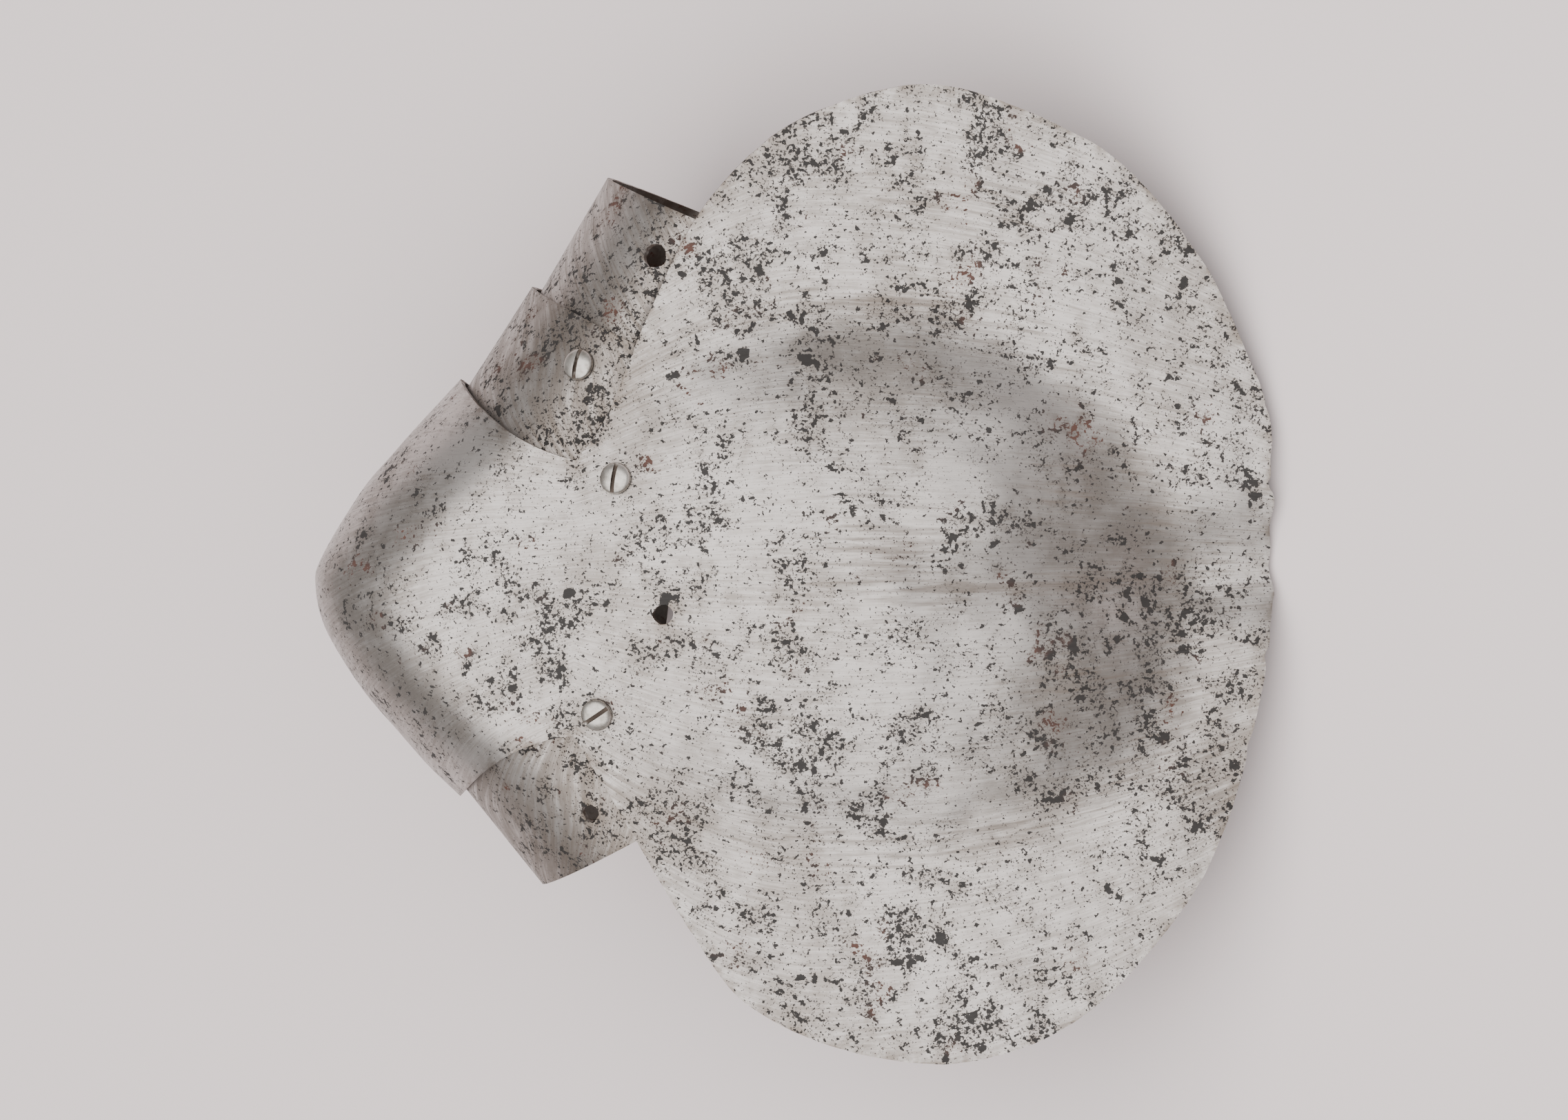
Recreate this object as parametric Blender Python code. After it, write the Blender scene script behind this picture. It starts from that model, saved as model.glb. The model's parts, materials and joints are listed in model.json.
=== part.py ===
"""Steel elbow defence (couter) with a pinched side wing and three lames.

Metres. The plates are laid out in the arm's own frame and then laid on the floor:
X runs from the elbow's point towards the inside of the bend, Y up the bent arm and
Z out of the arm's outer side. The bending plane of the arm is Z = 0.
"""

import math

import bmesh
import bpy
from mathutils import Quaternion, Vector
from mathutils.bvhtree import BVHTree

# Elbow plate: the cup
CUP_DEPTH = 0.0620
CUP_MOUTH_HEIGHT = 0.0984
NOSE_DEPTH = 0.0270
EDGE_BOW_UPPER = 0.0028
EDGE_BOW_LOWER = 0.0038
INNER_ARM_REACH = 0.0130
INNER_ARM_CROWN = 0.0080
PLATE_WALL = 0.0014

# Elbow plate: the wing
WING_REACH = 0.1627
WING_HEIGHT = 0.2283
CROWN_HEIGHT = 0.0580
CROWN_REACH = 0.0574
CROWN_RISE = 0.0065
NECK_RISE = 0.0014
BOSS_FALL = 0.0180
BOSS_HALF_HEIGHT = 0.0620
BOSS_FOLD_RATIO = 0.12
VALLEY_BLEND = 0.0036
PINCH_DEPTH = 0.0055
PINCH_RISE = 0.0081
PINCH_HALF_WIDTH = 0.0130
PINCH_START_SHARE = 0.35

# Heights of the wing's relief, as shares of CROWN_HEIGHT
BOSS_DROP_LEFT_SHARE = 0.181
BOSS_DROP_RIGHT_SHARE = 0.550
FLANGE_SHARE = 0.724
FLANGE_LIFT_LEFT_SHARE = 0.026
FLANGE_DROP_RIGHT_SHARE = 0.080

# Lames
LAME_WALL = 0.0012
LAME_CLEARANCE = 0.0012
ARM_TIP_CLEARANCE = 0.0006
UPPER_LEAN_SHARE = 0.917
LOWER_LEAN_SHARE = 0.975
UPPER_NEST_GAP = 0.0010
LOWER_NEST_GAP = 0.0007
SECOND_NEST_GAP = 0.0012
UPPER_AXIS_DEG = 57.3
SECOND_AXIS_DEG = 59.7
LOWER_AXIS_DEG = -51.2
UPPER_FREE_LENGTH = 0.0252
SECOND_FREE_LENGTH = 0.0401
LOWER_FREE_LENGTH = 0.0249
UPPER_EDGE_SLOPE_RATIO = 0.115
SECOND_EDGE_SLOPE_RATIO = 0.13
LOWER_EDGE_SLOPE_RATIO = 0.16
UPPER_TAIL = 0.0100
SECOND_TAIL = 0.0080
LOWER_TAIL = 0.0120
UPPER_FREE_ARM = 0.0310
SECOND_FREE_ARM = 0.0320
LOWER_FREE_ARM = 0.0300
LAME_LOBE = 0.0085
LAME_LOBE_SPREAD = 0.0136

# Screws, rivets and holes
SCREW_HEAD_RADIUS = 0.0037
SCREW_HEAD_HEIGHT = 0.0019
SCREW_HEAD_RIM = 0.0004
SCREW_SLOT_WIDTH = 0.0010
SCREW_SLOT_DEPTH = 0.0010
SHANK_RADIUS = 0.0016
HOLE_CLEARANCE = 0.0003
PIVOT_PLAY = 0.0006
SEAT_GAP = 0.00035
RIVET_HEAD_RADIUS = 0.0035
RIVET_HEAD_HEIGHT = 0.0009
BURR_RADIUS = 0.0030
BURR_HEIGHT = 0.0010
BORE_REACH = 0.0040
UPPER_SLOT_DEG = 82.0
SECOND_SLOT_DEG = 80.0
LOWER_SLOT_DEG = 35.0
SECOND_SCREW_BACK = 0.0080
SECOND_SCREW_IN = 0.0203
SECOND_HOLE_BACK = 0.0092
SECOND_HOLE_IN = 0.0187
LOWER_HOLE_BACK = 0.0075
LOWER_HOLE_IN = 0.0214
PLATE_HOLE_RADIUS = 0.0024
SECOND_HOLE_RADIUS = 0.0030
LOWER_HOLE_RADIUS = 0.0022

# How finely the sheets are divided
RIBS = 22
RIM_STEPS = 78
NOSE_STEPS = 5
ARM_STEPS = 4
LAME_ROWS = 8
ROUND_SIDES = 16
DOME_STEPS = 4
CURVE_STEPS = 12
SHARP_ANGLE_DEG = 40.0
SLOPE_STEP = 0.0002
NOSE_SHARE_MOST = 0.9

# How far down a face of the hull must look to be one that the object can lie on
RESTING_DOWNWARD_SHARE = 0.5

# The cup's edge in the bending plane, lower end to upper end:
# (share of CUP_DEPTH away from the neck, share of CUP_MOUTH_HEIGHT up the arm)
CUP_OUTLINE_SHARES = [
    (0.448, -0.484), (0.566, -0.413), (0.669, -0.340), (0.821, -0.227),
    (0.958, -0.086), (0.998, 0.015), (0.976, 0.088), (0.821, 0.249),
    (0.703, 0.337), (0.589, 0.418), (0.444, 0.516),
]

# The wing's rim, lower notch to upper notch, anticlockwise:
# (share of WING_REACH from the neck, share of WING_HEIGHT up the arm)
WING_OUTLINE_SHARES = [
    (-0.002, -0.134), (0.041, -0.185), (0.090, -0.244), (0.167, -0.337),
    (0.248, -0.410), (0.387, -0.457), (0.555, -0.470), (0.719, -0.428),
    (0.848, -0.337), (0.924, -0.247), (0.971, -0.138), (0.997, -0.041),
    (1.000, 0.030), (0.999, 0.121), (0.995, 0.194), (0.960, 0.261),
    (0.896, 0.353), (0.782, 0.450), (0.640, 0.505), (0.513, 0.530),
    (0.387, 0.514), (0.269, 0.470), (0.174, 0.393), (0.108, 0.299),
    (0.046, 0.192), (0.002, 0.147),
]

# Rings of the wing's sheet, as shares of the way from its middle to its rim
WING_RING_SHARES = [0.16, 0.30, 0.42, 0.50, 0.56, 0.63, 0.72, 0.82, 0.92, 1.0]

# Where things are pinned on the elbow plate, as shares of (WING_REACH, CUP_MOUTH_HEIGHT)
UPPER_PIVOT_SHARES = (0.0658, 0.294)
LOWER_PIVOT_SHARES = (0.0375, -0.253)
PLATE_HOLE_SHARES = (0.127, -0.018)

STEEL = (0.60, 0.58, 0.56, 1.0)
STEEL_ROUGHNESS = 0.42
SCREW_STEEL = (0.52, 0.50, 0.48, 1.0)
SCREW_ROUGHNESS = 0.30
RIVET_STEEL = (0.34, 0.32, 0.30, 1.0)
RIVET_ROUGHNESS = 0.50


def clear_scene():
    """Remove whatever the file holds."""
    for thing in list(bpy.data.objects):
        bpy.data.objects.remove(thing, do_unlink=True)


def steel(name, colour, roughness):
    """One plain steel material."""
    material = bpy.data.materials.new(name)
    material.use_nodes = True
    shader = material.node_tree.nodes["Principled BSDF"]
    shader.inputs["Base Color"].default_value = colour
    shader.inputs["Metallic"].default_value = 1.0
    shader.inputs["Roughness"].default_value = roughness
    return material


def smooth_line(points, steps):
    """Points evenly spaced along a Catmull-Rom curve through the given ones."""
    ends = [2 * points[0] - points[1]] + points + [2 * points[-1] - points[-2]]
    fine = []
    for before, start, end, after in zip(ends, ends[1:], ends[2:], ends[3:]):
        for part in range(CURVE_STEPS):
            s = part / CURVE_STEPS
            fine.append(0.5 * (2 * start + (end - before) * s
                               + (2 * before - 5 * start + 4 * end - after) * s * s
                               + (3 * start - before - 3 * end + after) * s ** 3))
    fine.append(points[-1])
    reach = [0.0]
    for one, other in zip(fine, fine[1:]):
        reach.append(reach[-1] + (other - one).length)
    evenly = []
    place = 0
    for step in range(steps + 1):
        wanted = reach[-1] * step / steps
        while place < len(fine) - 2 and reach[place + 1] < wanted:
            place += 1
        share = (wanted - reach[place]) / (reach[place + 1] - reach[place])
        evenly.append(fine[place].lerp(fine[place + 1], share))
    return evenly


def smooth_max(one, other, blend):
    """The larger of two heights, rounded where they meet."""
    near = max(blend - abs(one - other), 0.0) / blend
    return max(one, other) + near * near * blend / 4


def wing_height(x, y):
    """Height of the wing's outer face over the bending plane."""
    dx = x - CROWN_REACH
    right_span = WING_REACH - CROWN_REACH
    left = min(dx, 0.0) / CROWN_REACH
    along = max(dx, 0.0) / right_span
    dy = y - CROWN_RISE - (NECK_RISE - CROWN_RISE) * left ** 2 + BOSS_FALL * along ** 2
    right = max(dx - BOSS_FOLD_RATIO * abs(dy), 0.0) / right_span
    boss = CROWN_HEIGHT * (1 - BOSS_DROP_LEFT_SHARE * left ** 2
                           - BOSS_DROP_RIGHT_SHARE * right ** 2
                           - (1 - FLANGE_SHARE) * (dy / BOSS_HALF_HEIGHT) ** 2)
    flange = CROWN_HEIGHT * (FLANGE_SHARE + FLANGE_LIFT_LEFT_SHARE * left ** 2
                             - FLANGE_DROP_RIGHT_SHARE * along ** 2)
    height = smooth_max(boss, flange, VALLEY_BLEND)
    line = CROWN_RISE + (PINCH_RISE - CROWN_RISE) * along
    width = PINCH_HALF_WIDTH * (PINCH_START_SHARE + (1 - PINCH_START_SHARE) * along)
    return height - PINCH_DEPTH * along * math.exp(-((y - line) / width) ** 2)


def wing_lean(x, y):
    """Slopes of the wing's outer face along X and Y."""
    along_x = wing_height(x + SLOPE_STEP, y) - wing_height(x - SLOPE_STEP, y)
    along_y = wing_height(x, y + SLOPE_STEP) - wing_height(x, y - SLOPE_STEP)
    return along_x / (2 * SLOPE_STEP), along_y / (2 * SLOPE_STEP)


def on_plate(at):
    """A place on the elbow plate from its shares of WING_REACH and CUP_MOUTH_HEIGHT."""
    return Vector((at[0] * WING_REACH, at[1] * CUP_MOUTH_HEIGHT))


def nose(distance, depth):
    """Rise of the rounded nose, from 0 at the edge-on line to 1 at its depth."""
    return math.sqrt(max(0.0, 1 - (1 - min(distance / depth, 1.0)) ** 2))


def stations(depth, end):
    """Distances from the edge-on line: round the nose, then along the arm."""
    nose_depth = min(depth, NOSE_SHARE_MOST * end)
    round_the_nose = [nose_depth * (1 - math.cos(math.pi / 2 * step / NOSE_STEPS))
                      for step in range(1, NOSE_STEPS + 1)]
    along_arm = [nose_depth + (end - nose_depth) * step / ARM_STEPS
                 for step in range(1, ARM_STEPS + 1)]
    return round_the_nose + along_arm


def cup_rib(start, neck, inner_end, bow):
    """One rib of the cup, from the inner arm's end round the nose to the neck."""
    length = (neck - start).length
    along = (neck - start).normalized()
    across = Vector((along.y, -along.x))
    slopes = wing_lean(neck.x, neck.y)
    slope = slopes[0] * along.x + slopes[1] * along.y
    rise = wing_height(neck.x, neck.y) - slope * length
    half = []
    for distance in stations(NOSE_DEPTH, length):
        share = distance / length
        spot = start + along * distance + across * bow * 4 * share * (1 - share)
        height = rise * nose(distance, NOSE_DEPTH) + slope * distance
        half.append(Vector((spot.x, spot.y, height)))
    arm = []
    for step in range(1, ARM_STEPS + 1):
        spot = neck.lerp(inner_end, step / ARM_STEPS)
        arm.append(Vector((spot.x, spot.y, wing_height(spot.x, spot.y))))
    inner = [Vector((spot.x, spot.y, -spot.z)) for spot in (half + arm)[::-1]]
    return inner + [Vector((start.x, start.y, 0.0))] + half


def elbow_plate_sheet():
    """The elbow plate's outer face: the cup's ribs, then the wing's rings."""
    edge = smooth_line([Vector((-depth * CUP_DEPTH, rise * CUP_MOUTH_HEIGHT))
                        for depth, rise in CUP_OUTLINE_SHARES], RIBS)
    rim = smooth_line([Vector((reach * WING_REACH, rise * WING_HEIGHT))
                       for reach, rise in WING_OUTLINE_SHARES], RIM_STEPS)
    sheet = bmesh.new()
    ribs = []
    for row in range(RIBS + 1):
        share = row / RIBS
        swing = 2 * share - 1
        neck = rim[0].lerp(rim[-1], share)
        inner = Vector((INNER_ARM_REACH + INNER_ARM_CROWN * (1 - swing ** 2),
                        neck.y + EDGE_BOW_LOWER * swing))
        bow = (EDGE_BOW_UPPER if swing > 0 else -EDGE_BOW_LOWER) * swing ** 2
        rib = cup_rib(edge[row], neck, inner, bow)
        ribs.append([sheet.verts.new(spot) for spot in rib])
    for lower, upper in zip(ribs, ribs[1:]):
        for spot in range(len(lower) - 1):
            sheet.faces.new((lower[spot], lower[spot + 1], upper[spot + 1], upper[spot]))
    middle = Vector((CROWN_REACH, CROWN_RISE))
    border = [rib[-1] for rib in ribs[::-1]]
    border += [sheet.verts.new((spot.x, spot.y, wing_height(spot.x, spot.y)))
               for spot in rim[1:-1]]
    rings = []
    for share in WING_RING_SHARES[:-1]:
        ring = []
        for vert in border:
            spot = middle.lerp(vert.co.xy, share)
            ring.append(sheet.verts.new((spot.x, spot.y, wing_height(spot.x, spot.y))))
        rings.append(ring)
    rings.append(border)
    count = len(border)
    for inside, outside in zip(rings, rings[1:]):
        for spot in range(count):
            after = (spot + 1) % count
            sheet.faces.new((inside[spot], outside[spot], outside[after], inside[after]))
    top = sheet.verts.new((middle.x, middle.y, wing_height(middle.x, middle.y)))
    for spot in range(count):
        sheet.faces.new((top, rings[0][spot], rings[0][(spot + 1) % count]))
    return sheet, edge


class Lame:
    """Where a lame lies: its pivot, the way it runs and how it nests in the plate over it."""

    def __init__(self, pivot, axis_deg, inward_side):
        turn = math.radians(axis_deg)
        self.pivot = pivot
        self.side = inward_side
        self.axis = Vector((math.cos(turn), math.sin(turn)))
        self.inward = Vector((self.axis.y, -self.axis.x)) * inward_side

    def wing_slope(self):
        """Slope of the wing over the pivot, along the lame's inward way."""
        along_x, along_y = wing_lean(self.pivot.x, self.pivot.y)
        return along_x * self.inward.x + along_y * self.inward.y

    def nest(self, outer_edge, step, lean, height_over, outer_nose_depth, plates_over):
        """Set the lame a step inside an edge-on point of the plate over it, its arm leaning."""
        self.lean = lean
        self.depth = (self.pivot - outer_edge).dot(self.inward) - step
        self.nose_depth = outer_nose_depth - step
        under = PLATE_WALL / math.cos(math.atan(lean)) + LAME_CLEARANCE
        full_rise = nose(self.depth, self.nose_depth)
        self.rise = (height_over - under - lean * self.depth) / full_rise
        self.under_wing = (PLATE_WALL + (plates_over - 1) * LAME_WALL
                           + plates_over * LAME_CLEARANCE + ARM_TIP_CLEARANCE)

    def spot(self, along, distance):
        """A place in the bending plane, along the lame and in from its nose."""
        return self.pivot + self.axis * along + self.inward * (distance - self.depth)

    def height(self, along, distance):
        """Height of the lame's outer face, kept under the elbow plate's wing."""
        own = self.rise * nose(distance, self.nose_depth) + self.lean * distance
        if distance < self.nose_depth:
            return own
        place = self.spot(along, distance)
        return min(own, wing_height(place.x, place.y) - self.under_wing)


def lame_sheet(lame, tail, free, free_slope, free_end):
    """A lame's outer face about its pivot, from the inner arm's end to the outer one's."""
    pivot_end = lame.depth + LAME_LOBE
    sheet = bmesh.new()
    rows = []
    for row in range(LAME_ROWS + 1):
        share = row / LAME_ROWS
        middle = -tail + (tail + free) * share
        end = free_end + (pivot_end - free_end) * math.exp(-(middle / LAME_LOBE_SPREAD) ** 2)
        arm = stations(lame.nose_depth, end)
        line = []
        for side, distances in ((-1, arm[::-1]), (1, [0.0] + arm)):
            for distance in distances:
                along = -tail + (tail + free + free_slope * distance) * share
                place = lame.spot(along, distance) - lame.pivot
                height = side * lame.height(along, distance)
                line.append(sheet.verts.new((place.x, place.y, height)))
        rows.append(line)
    for lower, upper in zip(rows, rows[1:]):
        for spot in range(len(lower) - 1):
            sheet.faces.new((lower[spot], lower[spot + 1], upper[spot + 1], upper[spot]))
    if lame.side < 0:
        bmesh.ops.reverse_faces(sheet, faces=sheet.faces)
    return sheet


def place_mesh(name, sheet, material, parent, location=(0.0, 0.0, 0.0)):
    """Turn a bmesh into a named object."""
    mesh = bpy.data.meshes.new(name)
    sheet.to_mesh(mesh)
    sheet.free()
    thing = bpy.data.objects.new(name, mesh)
    bpy.context.collection.objects.link(thing)
    thing.parent = parent
    thing.location = location
    mesh.materials.append(material)
    return thing


def give_wall(thing, wall):
    """Thicken a sheet inwards from its outer face."""
    solid = thing.modifiers.new("wall", "SOLIDIFY")
    solid.thickness = wall
    solid.offset = -1.0
    solid.use_even_offset = True
    thing.data.shade_smooth()
    thing.data.set_sharp_from_angle(angle=math.radians(SHARP_ANGLE_DEG))


def turned(rings):
    """A closed body turned about Z through rings of (radius, height), bottom to top."""
    body = bmesh.new()
    loops = []
    for radius, height in rings:
        loops.append([body.verts.new((radius * math.cos(2 * math.pi * side / ROUND_SIDES),
                                      radius * math.sin(2 * math.pi * side / ROUND_SIDES),
                                      height)) for side in range(ROUND_SIDES)])
    for below, above in zip(loops, loops[1:]):
        for side in range(ROUND_SIDES):
            after = (side + 1) % ROUND_SIDES
            body.faces.new((below[side], below[after], above[after], above[side]))
    body.faces.new(loops[0][::-1])
    body.faces.new(loops[-1])
    return body


def cutter(name, body, parent, location, turn):
    """A body that only cuts, never shows."""
    thing = place_mesh(name, body, bpy.data.materials["cutting_guide"], parent, location)
    thing.rotation_mode = "QUATERNION"
    thing.rotation_quaternion = turn
    thing.hide_render = True
    thing.display_type = "WIRE"
    return thing


def cut(thing, tool):
    """Take the tool's shape out of a solid."""
    hole = thing.modifiers.new("cut_" + tool.name, "BOOLEAN")
    hole.operation = "DIFFERENCE"
    hole.solver = "EXACT"
    hole.object = tool


def face_under(sheet, place, side):
    """Where a line along Z through a place meets a sheet's outer face, and how it faces."""
    tree = BVHTree.FromBMesh(sheet)
    start = Vector((place.x, place.y, side * 2 * WING_REACH))
    spot, normal, _, _ = tree.ray_cast(start, Vector((0.0, 0.0, -side)))
    if normal.z * side < 0:
        normal = -normal
    return spot, normal


def along_line(sheet, start, way):
    """Where a line from a point meets a sheet."""
    return BVHTree.FromBMesh(sheet).ray_cast(start, way)[0]


def turn_to(way):
    """The turn that carries Z onto a direction."""
    return Vector((0.0, 0.0, 1.0)).rotation_difference(way)


def bore(name, thing, spot, way, radius):
    """Bore a round hole through a plate at a spot, along a direction."""
    reach = BORE_REACH
    tool = cutter(name, turned([(radius, -reach), (radius, reach)]), thing.parent, spot, turn_to(way))
    cut(thing, tool)


def dome(radius, height, rim):
    """Rings of a low dome from its rim up to a small flat top."""
    rings = []
    for step in range(DOME_STEPS):
        turn = math.pi / 2 * step / DOME_STEPS
        rings.append((radius * math.cos(turn), SEAT_GAP + rim + (height - rim) * math.sin(turn)))
    return rings


def fastener(name, spot, way, grip, head, material, root):
    """A turned pin square to a plate: head outside, shank through, burred end inside."""
    shank = [(BURR_RADIUS, -grip - BURR_HEIGHT), (BURR_RADIUS, -grip),
             (SHANK_RADIUS, -grip), (SHANK_RADIUS, SEAT_GAP)]
    thing = place_mesh(name, turned(shank + head), material, root, spot)
    thing.rotation_mode = "QUATERNION"
    thing.rotation_quaternion = turn_to(way)
    return thing


def cut_slot(thing, way, slot_deg):
    """Saw the driver's slot across a screw's head."""
    slot = bmesh.new()
    bmesh.ops.create_cube(slot, size=1.0)
    size = (3 * SCREW_HEAD_RADIUS, SCREW_SLOT_WIDTH, 2 * SCREW_SLOT_DEPTH)
    bmesh.ops.scale(slot, vec=size, verts=slot.verts)
    turn = turn_to(way) @ Quaternion((0.0, 0.0, 1.0), math.radians(slot_deg))
    top = thing.location + way * (SEAT_GAP + SCREW_HEAD_HEIGHT)
    cut(thing, cutter("slot_of_" + thing.name, slot, thing.parent, top, turn))


def pin_together(joint, over, under, place, names, slot_deg, materials, root):
    """Pin an upper sheet to the one below it at a pivot, on the outer and the hidden side."""
    pieces = []
    for side, name in ((1, names[0]), (-1, names[1])):
        _, way = face_under(over["sheet"], place, side)
        seat, under_way = face_under(under["sheet"], place, side)
        spot = along_line(over["sheet"], seat + way * SEAT_GAP, way)
        grip = (spot - seat).length + LAME_WALL + SEAT_GAP
        if side > 0:
            head = [(SCREW_HEAD_RADIUS, SEAT_GAP)]
            head += dome(SCREW_HEAD_RADIUS, SCREW_HEAD_HEIGHT, SCREW_HEAD_RIM)
        else:
            head = [(RIVET_HEAD_RADIUS, SEAT_GAP), (RIVET_HEAD_RADIUS, SEAT_GAP + RIVET_HEAD_HEIGHT)]
        piece = fastener(name, spot, way, grip, head, materials[0 if side > 0 else 1], root)
        if side > 0:
            cut_slot(piece, way, slot_deg)
        bore(joint + "_bore_over_" + name, over["thing"], spot, way, SHANK_RADIUS + HOLE_CLEARANCE)
        bore(joint + "_bore_under_" + name, under["thing"], seat, under_way,
             SHANK_RADIUS + PIVOT_PLAY)
        pieces.append(piece)
    return pieces


def settle(root, pieces):
    """Lay the whole on the floor as it comes to rest with its outer side up."""
    bpy.context.view_layer.update()
    graph = bpy.context.evaluated_depsgraph_get()
    hull = bmesh.new()
    volume = 0.0
    moment = Vector((0.0, 0.0, 0.0))
    for piece in pieces:
        seen = piece.evaluated_get(graph)
        mesh = seen.to_mesh()
        mesh.calc_loop_triangles()
        spots = [seen.matrix_world @ vert.co for vert in mesh.vertices]
        for triangle in mesh.loop_triangles:
            one, two, three = (spots[index] for index in triangle.vertices)
            part = one.dot(two.cross(three)) / 6
            volume += part
            moment += part * (one + two + three) / 4
        for spot in spots:
            hull.verts.new(spot)
        seen.to_mesh_clear()
    weight = moment / volume
    bmesh.ops.convex_hull(hull, input=hull.verts)
    bmesh.ops.recalc_face_normals(hull, faces=hull.faces)
    feet = []
    for face in hull.faces:
        drop = (face.verts[0].co - weight).dot(face.normal)
        under_weight = bmesh.geometry.intersect_face_point(face, weight + face.normal * drop)
        if face.normal.z < -RESTING_DOWNWARD_SHARE and under_weight:
            feet.append((drop, face.normal.copy()))
    turn = min(feet, key=lambda foot: foot[0])[1].rotation_difference(Vector((0.0, 0.0, -1.0)))
    lying = [turn @ vert.co for vert in hull.verts]
    low = [min(spot[axis] for spot in lying) for axis in range(3)]
    high = [max(spot[axis] for spot in lying) for axis in range(3)]
    hull.free()
    root.rotation_mode = "QUATERNION"
    root.rotation_quaternion = turn
    root.location = (-(low[0] + high[0]) / 2, -(low[1] + high[1]) / 2, -low[2])


def make_plate(name, sheet, material, wall, root, pivot=Vector((0.0, 0.0))):
    """A walled plate whose origin lies on its pivot, and its sheet laid in the arm's frame."""
    placed = sheet.copy()
    bmesh.ops.translate(placed, vec=Vector((pivot.x, pivot.y, 0.0)), verts=placed.verts)
    thing = place_mesh(name, sheet, material, root, (pivot.x, pivot.y, 0.0))
    give_wall(thing, wall)
    return {"thing": thing, "sheet": placed}


def main():
    """Build the plates, pin them together and lay the whole down."""
    clear_scene()
    plate_steel = steel("pitted_steel", STEEL, STEEL_ROUGHNESS)
    pins = (steel("screw_steel", SCREW_STEEL, SCREW_ROUGHNESS),
            steel("rivet_steel", RIVET_STEEL, RIVET_ROUGHNESS))
    steel("cutting_guide", STEEL, STEEL_ROUGHNESS)
    root = bpy.data.objects.new("resting_pose", None)
    bpy.context.collection.objects.link(root)

    sheet, edge = elbow_plate_sheet()
    elbow = make_plate("elbow_plate", sheet, plate_steel, PLATE_WALL, root)

    upper_pivot = on_plate(UPPER_PIVOT_SHARES)
    upper = Lame(upper_pivot, UPPER_AXIS_DEG, 1)
    upper.nest(edge[-1], PLATE_WALL + UPPER_NEST_GAP, UPPER_LEAN_SHARE * upper.wing_slope(),
               wing_height(upper_pivot.x, upper_pivot.y), NOSE_DEPTH, 1)
    lower_pivot = on_plate(LOWER_PIVOT_SHARES)
    lower = Lame(lower_pivot, LOWER_AXIS_DEG, -1)
    lower.nest(edge[0], PLATE_WALL + LOWER_NEST_GAP, LOWER_LEAN_SHARE * lower.wing_slope(),
               wing_height(lower_pivot.x, lower_pivot.y), NOSE_DEPTH, 1)
    second_pivot = upper.spot(UPPER_FREE_LENGTH - SECOND_SCREW_BACK, SECOND_SCREW_IN)
    second = Lame(second_pivot, SECOND_AXIS_DEG, 1)
    second.nest(upper.spot(UPPER_FREE_LENGTH, 0.0), LAME_WALL + SECOND_NEST_GAP, upper.lean,
                upper.height(0.0, SECOND_SCREW_IN), upper.nose_depth, 2)

    plates = {}
    for name, lame, lengths in (
            ("upper_lame_1", upper,
             (UPPER_TAIL, UPPER_FREE_LENGTH, UPPER_EDGE_SLOPE_RATIO, UPPER_FREE_ARM)),
            ("upper_lame_2", second,
             (SECOND_TAIL, SECOND_FREE_LENGTH, SECOND_EDGE_SLOPE_RATIO, SECOND_FREE_ARM)),
            ("lower_lame_1", lower,
             (LOWER_TAIL, LOWER_FREE_LENGTH, LOWER_EDGE_SLOPE_RATIO, LOWER_FREE_ARM))):
        plates[name] = make_plate(name, lame_sheet(lame, *lengths), plate_steel,
                                  LAME_WALL, root, lame.pivot)

    pieces = [elbow["thing"]] + [plate["thing"] for plate in plates.values()]
    for joint, over, below, place, names, slot_deg in (
            ("upper_pivot", elbow, plates["upper_lame_1"], upper_pivot,
             ("pivot_screw_upper", "inner_rivet_upper"), UPPER_SLOT_DEG),
            ("second_pivot", plates["upper_lame_1"], plates["upper_lame_2"], second_pivot,
             ("lame_screw_upper", "inner_rivet_lames"), SECOND_SLOT_DEG),
            ("lower_pivot", elbow, plates["lower_lame_1"], lower_pivot,
             ("pivot_screw_lower", "inner_rivet_lower"), LOWER_SLOT_DEG)):
        pieces += pin_together(joint, over, below, place, names, slot_deg, pins, root)

    for name, plate, place, radius in (
            ("plate_hole", elbow, on_plate(PLATE_HOLE_SHARES), PLATE_HOLE_RADIUS),
            ("second_hole", plates["upper_lame_2"],
             second.spot(SECOND_FREE_LENGTH - SECOND_HOLE_BACK, SECOND_HOLE_IN), SECOND_HOLE_RADIUS),
            ("lower_hole", plates["lower_lame_1"],
             lower.spot(LOWER_FREE_LENGTH - LOWER_HOLE_BACK, LOWER_HOLE_IN), LOWER_HOLE_RADIUS)):
        spot, way = face_under(plate["sheet"], place, 1)
        bore(name, plate["thing"], spot, way, radius)
    settle(root, pieces)


main()
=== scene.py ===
"""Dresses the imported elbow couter: fine plates, screws, pitted steel, floor, light and camera.

Metres. The plates are laid out in the arm's own frame and carried to the floor by REST:
X runs from the elbow's point towards the inside of the bend, Y up the bent arm and
Z out of the arm's outer side.
"""

import json
import math

import bpy
import numpy as np
from bpy.props import FloatProperty, FloatVectorProperty, IntProperty, PointerProperty
from mathutils import Matrix, Vector, kdtree, noise


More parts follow.
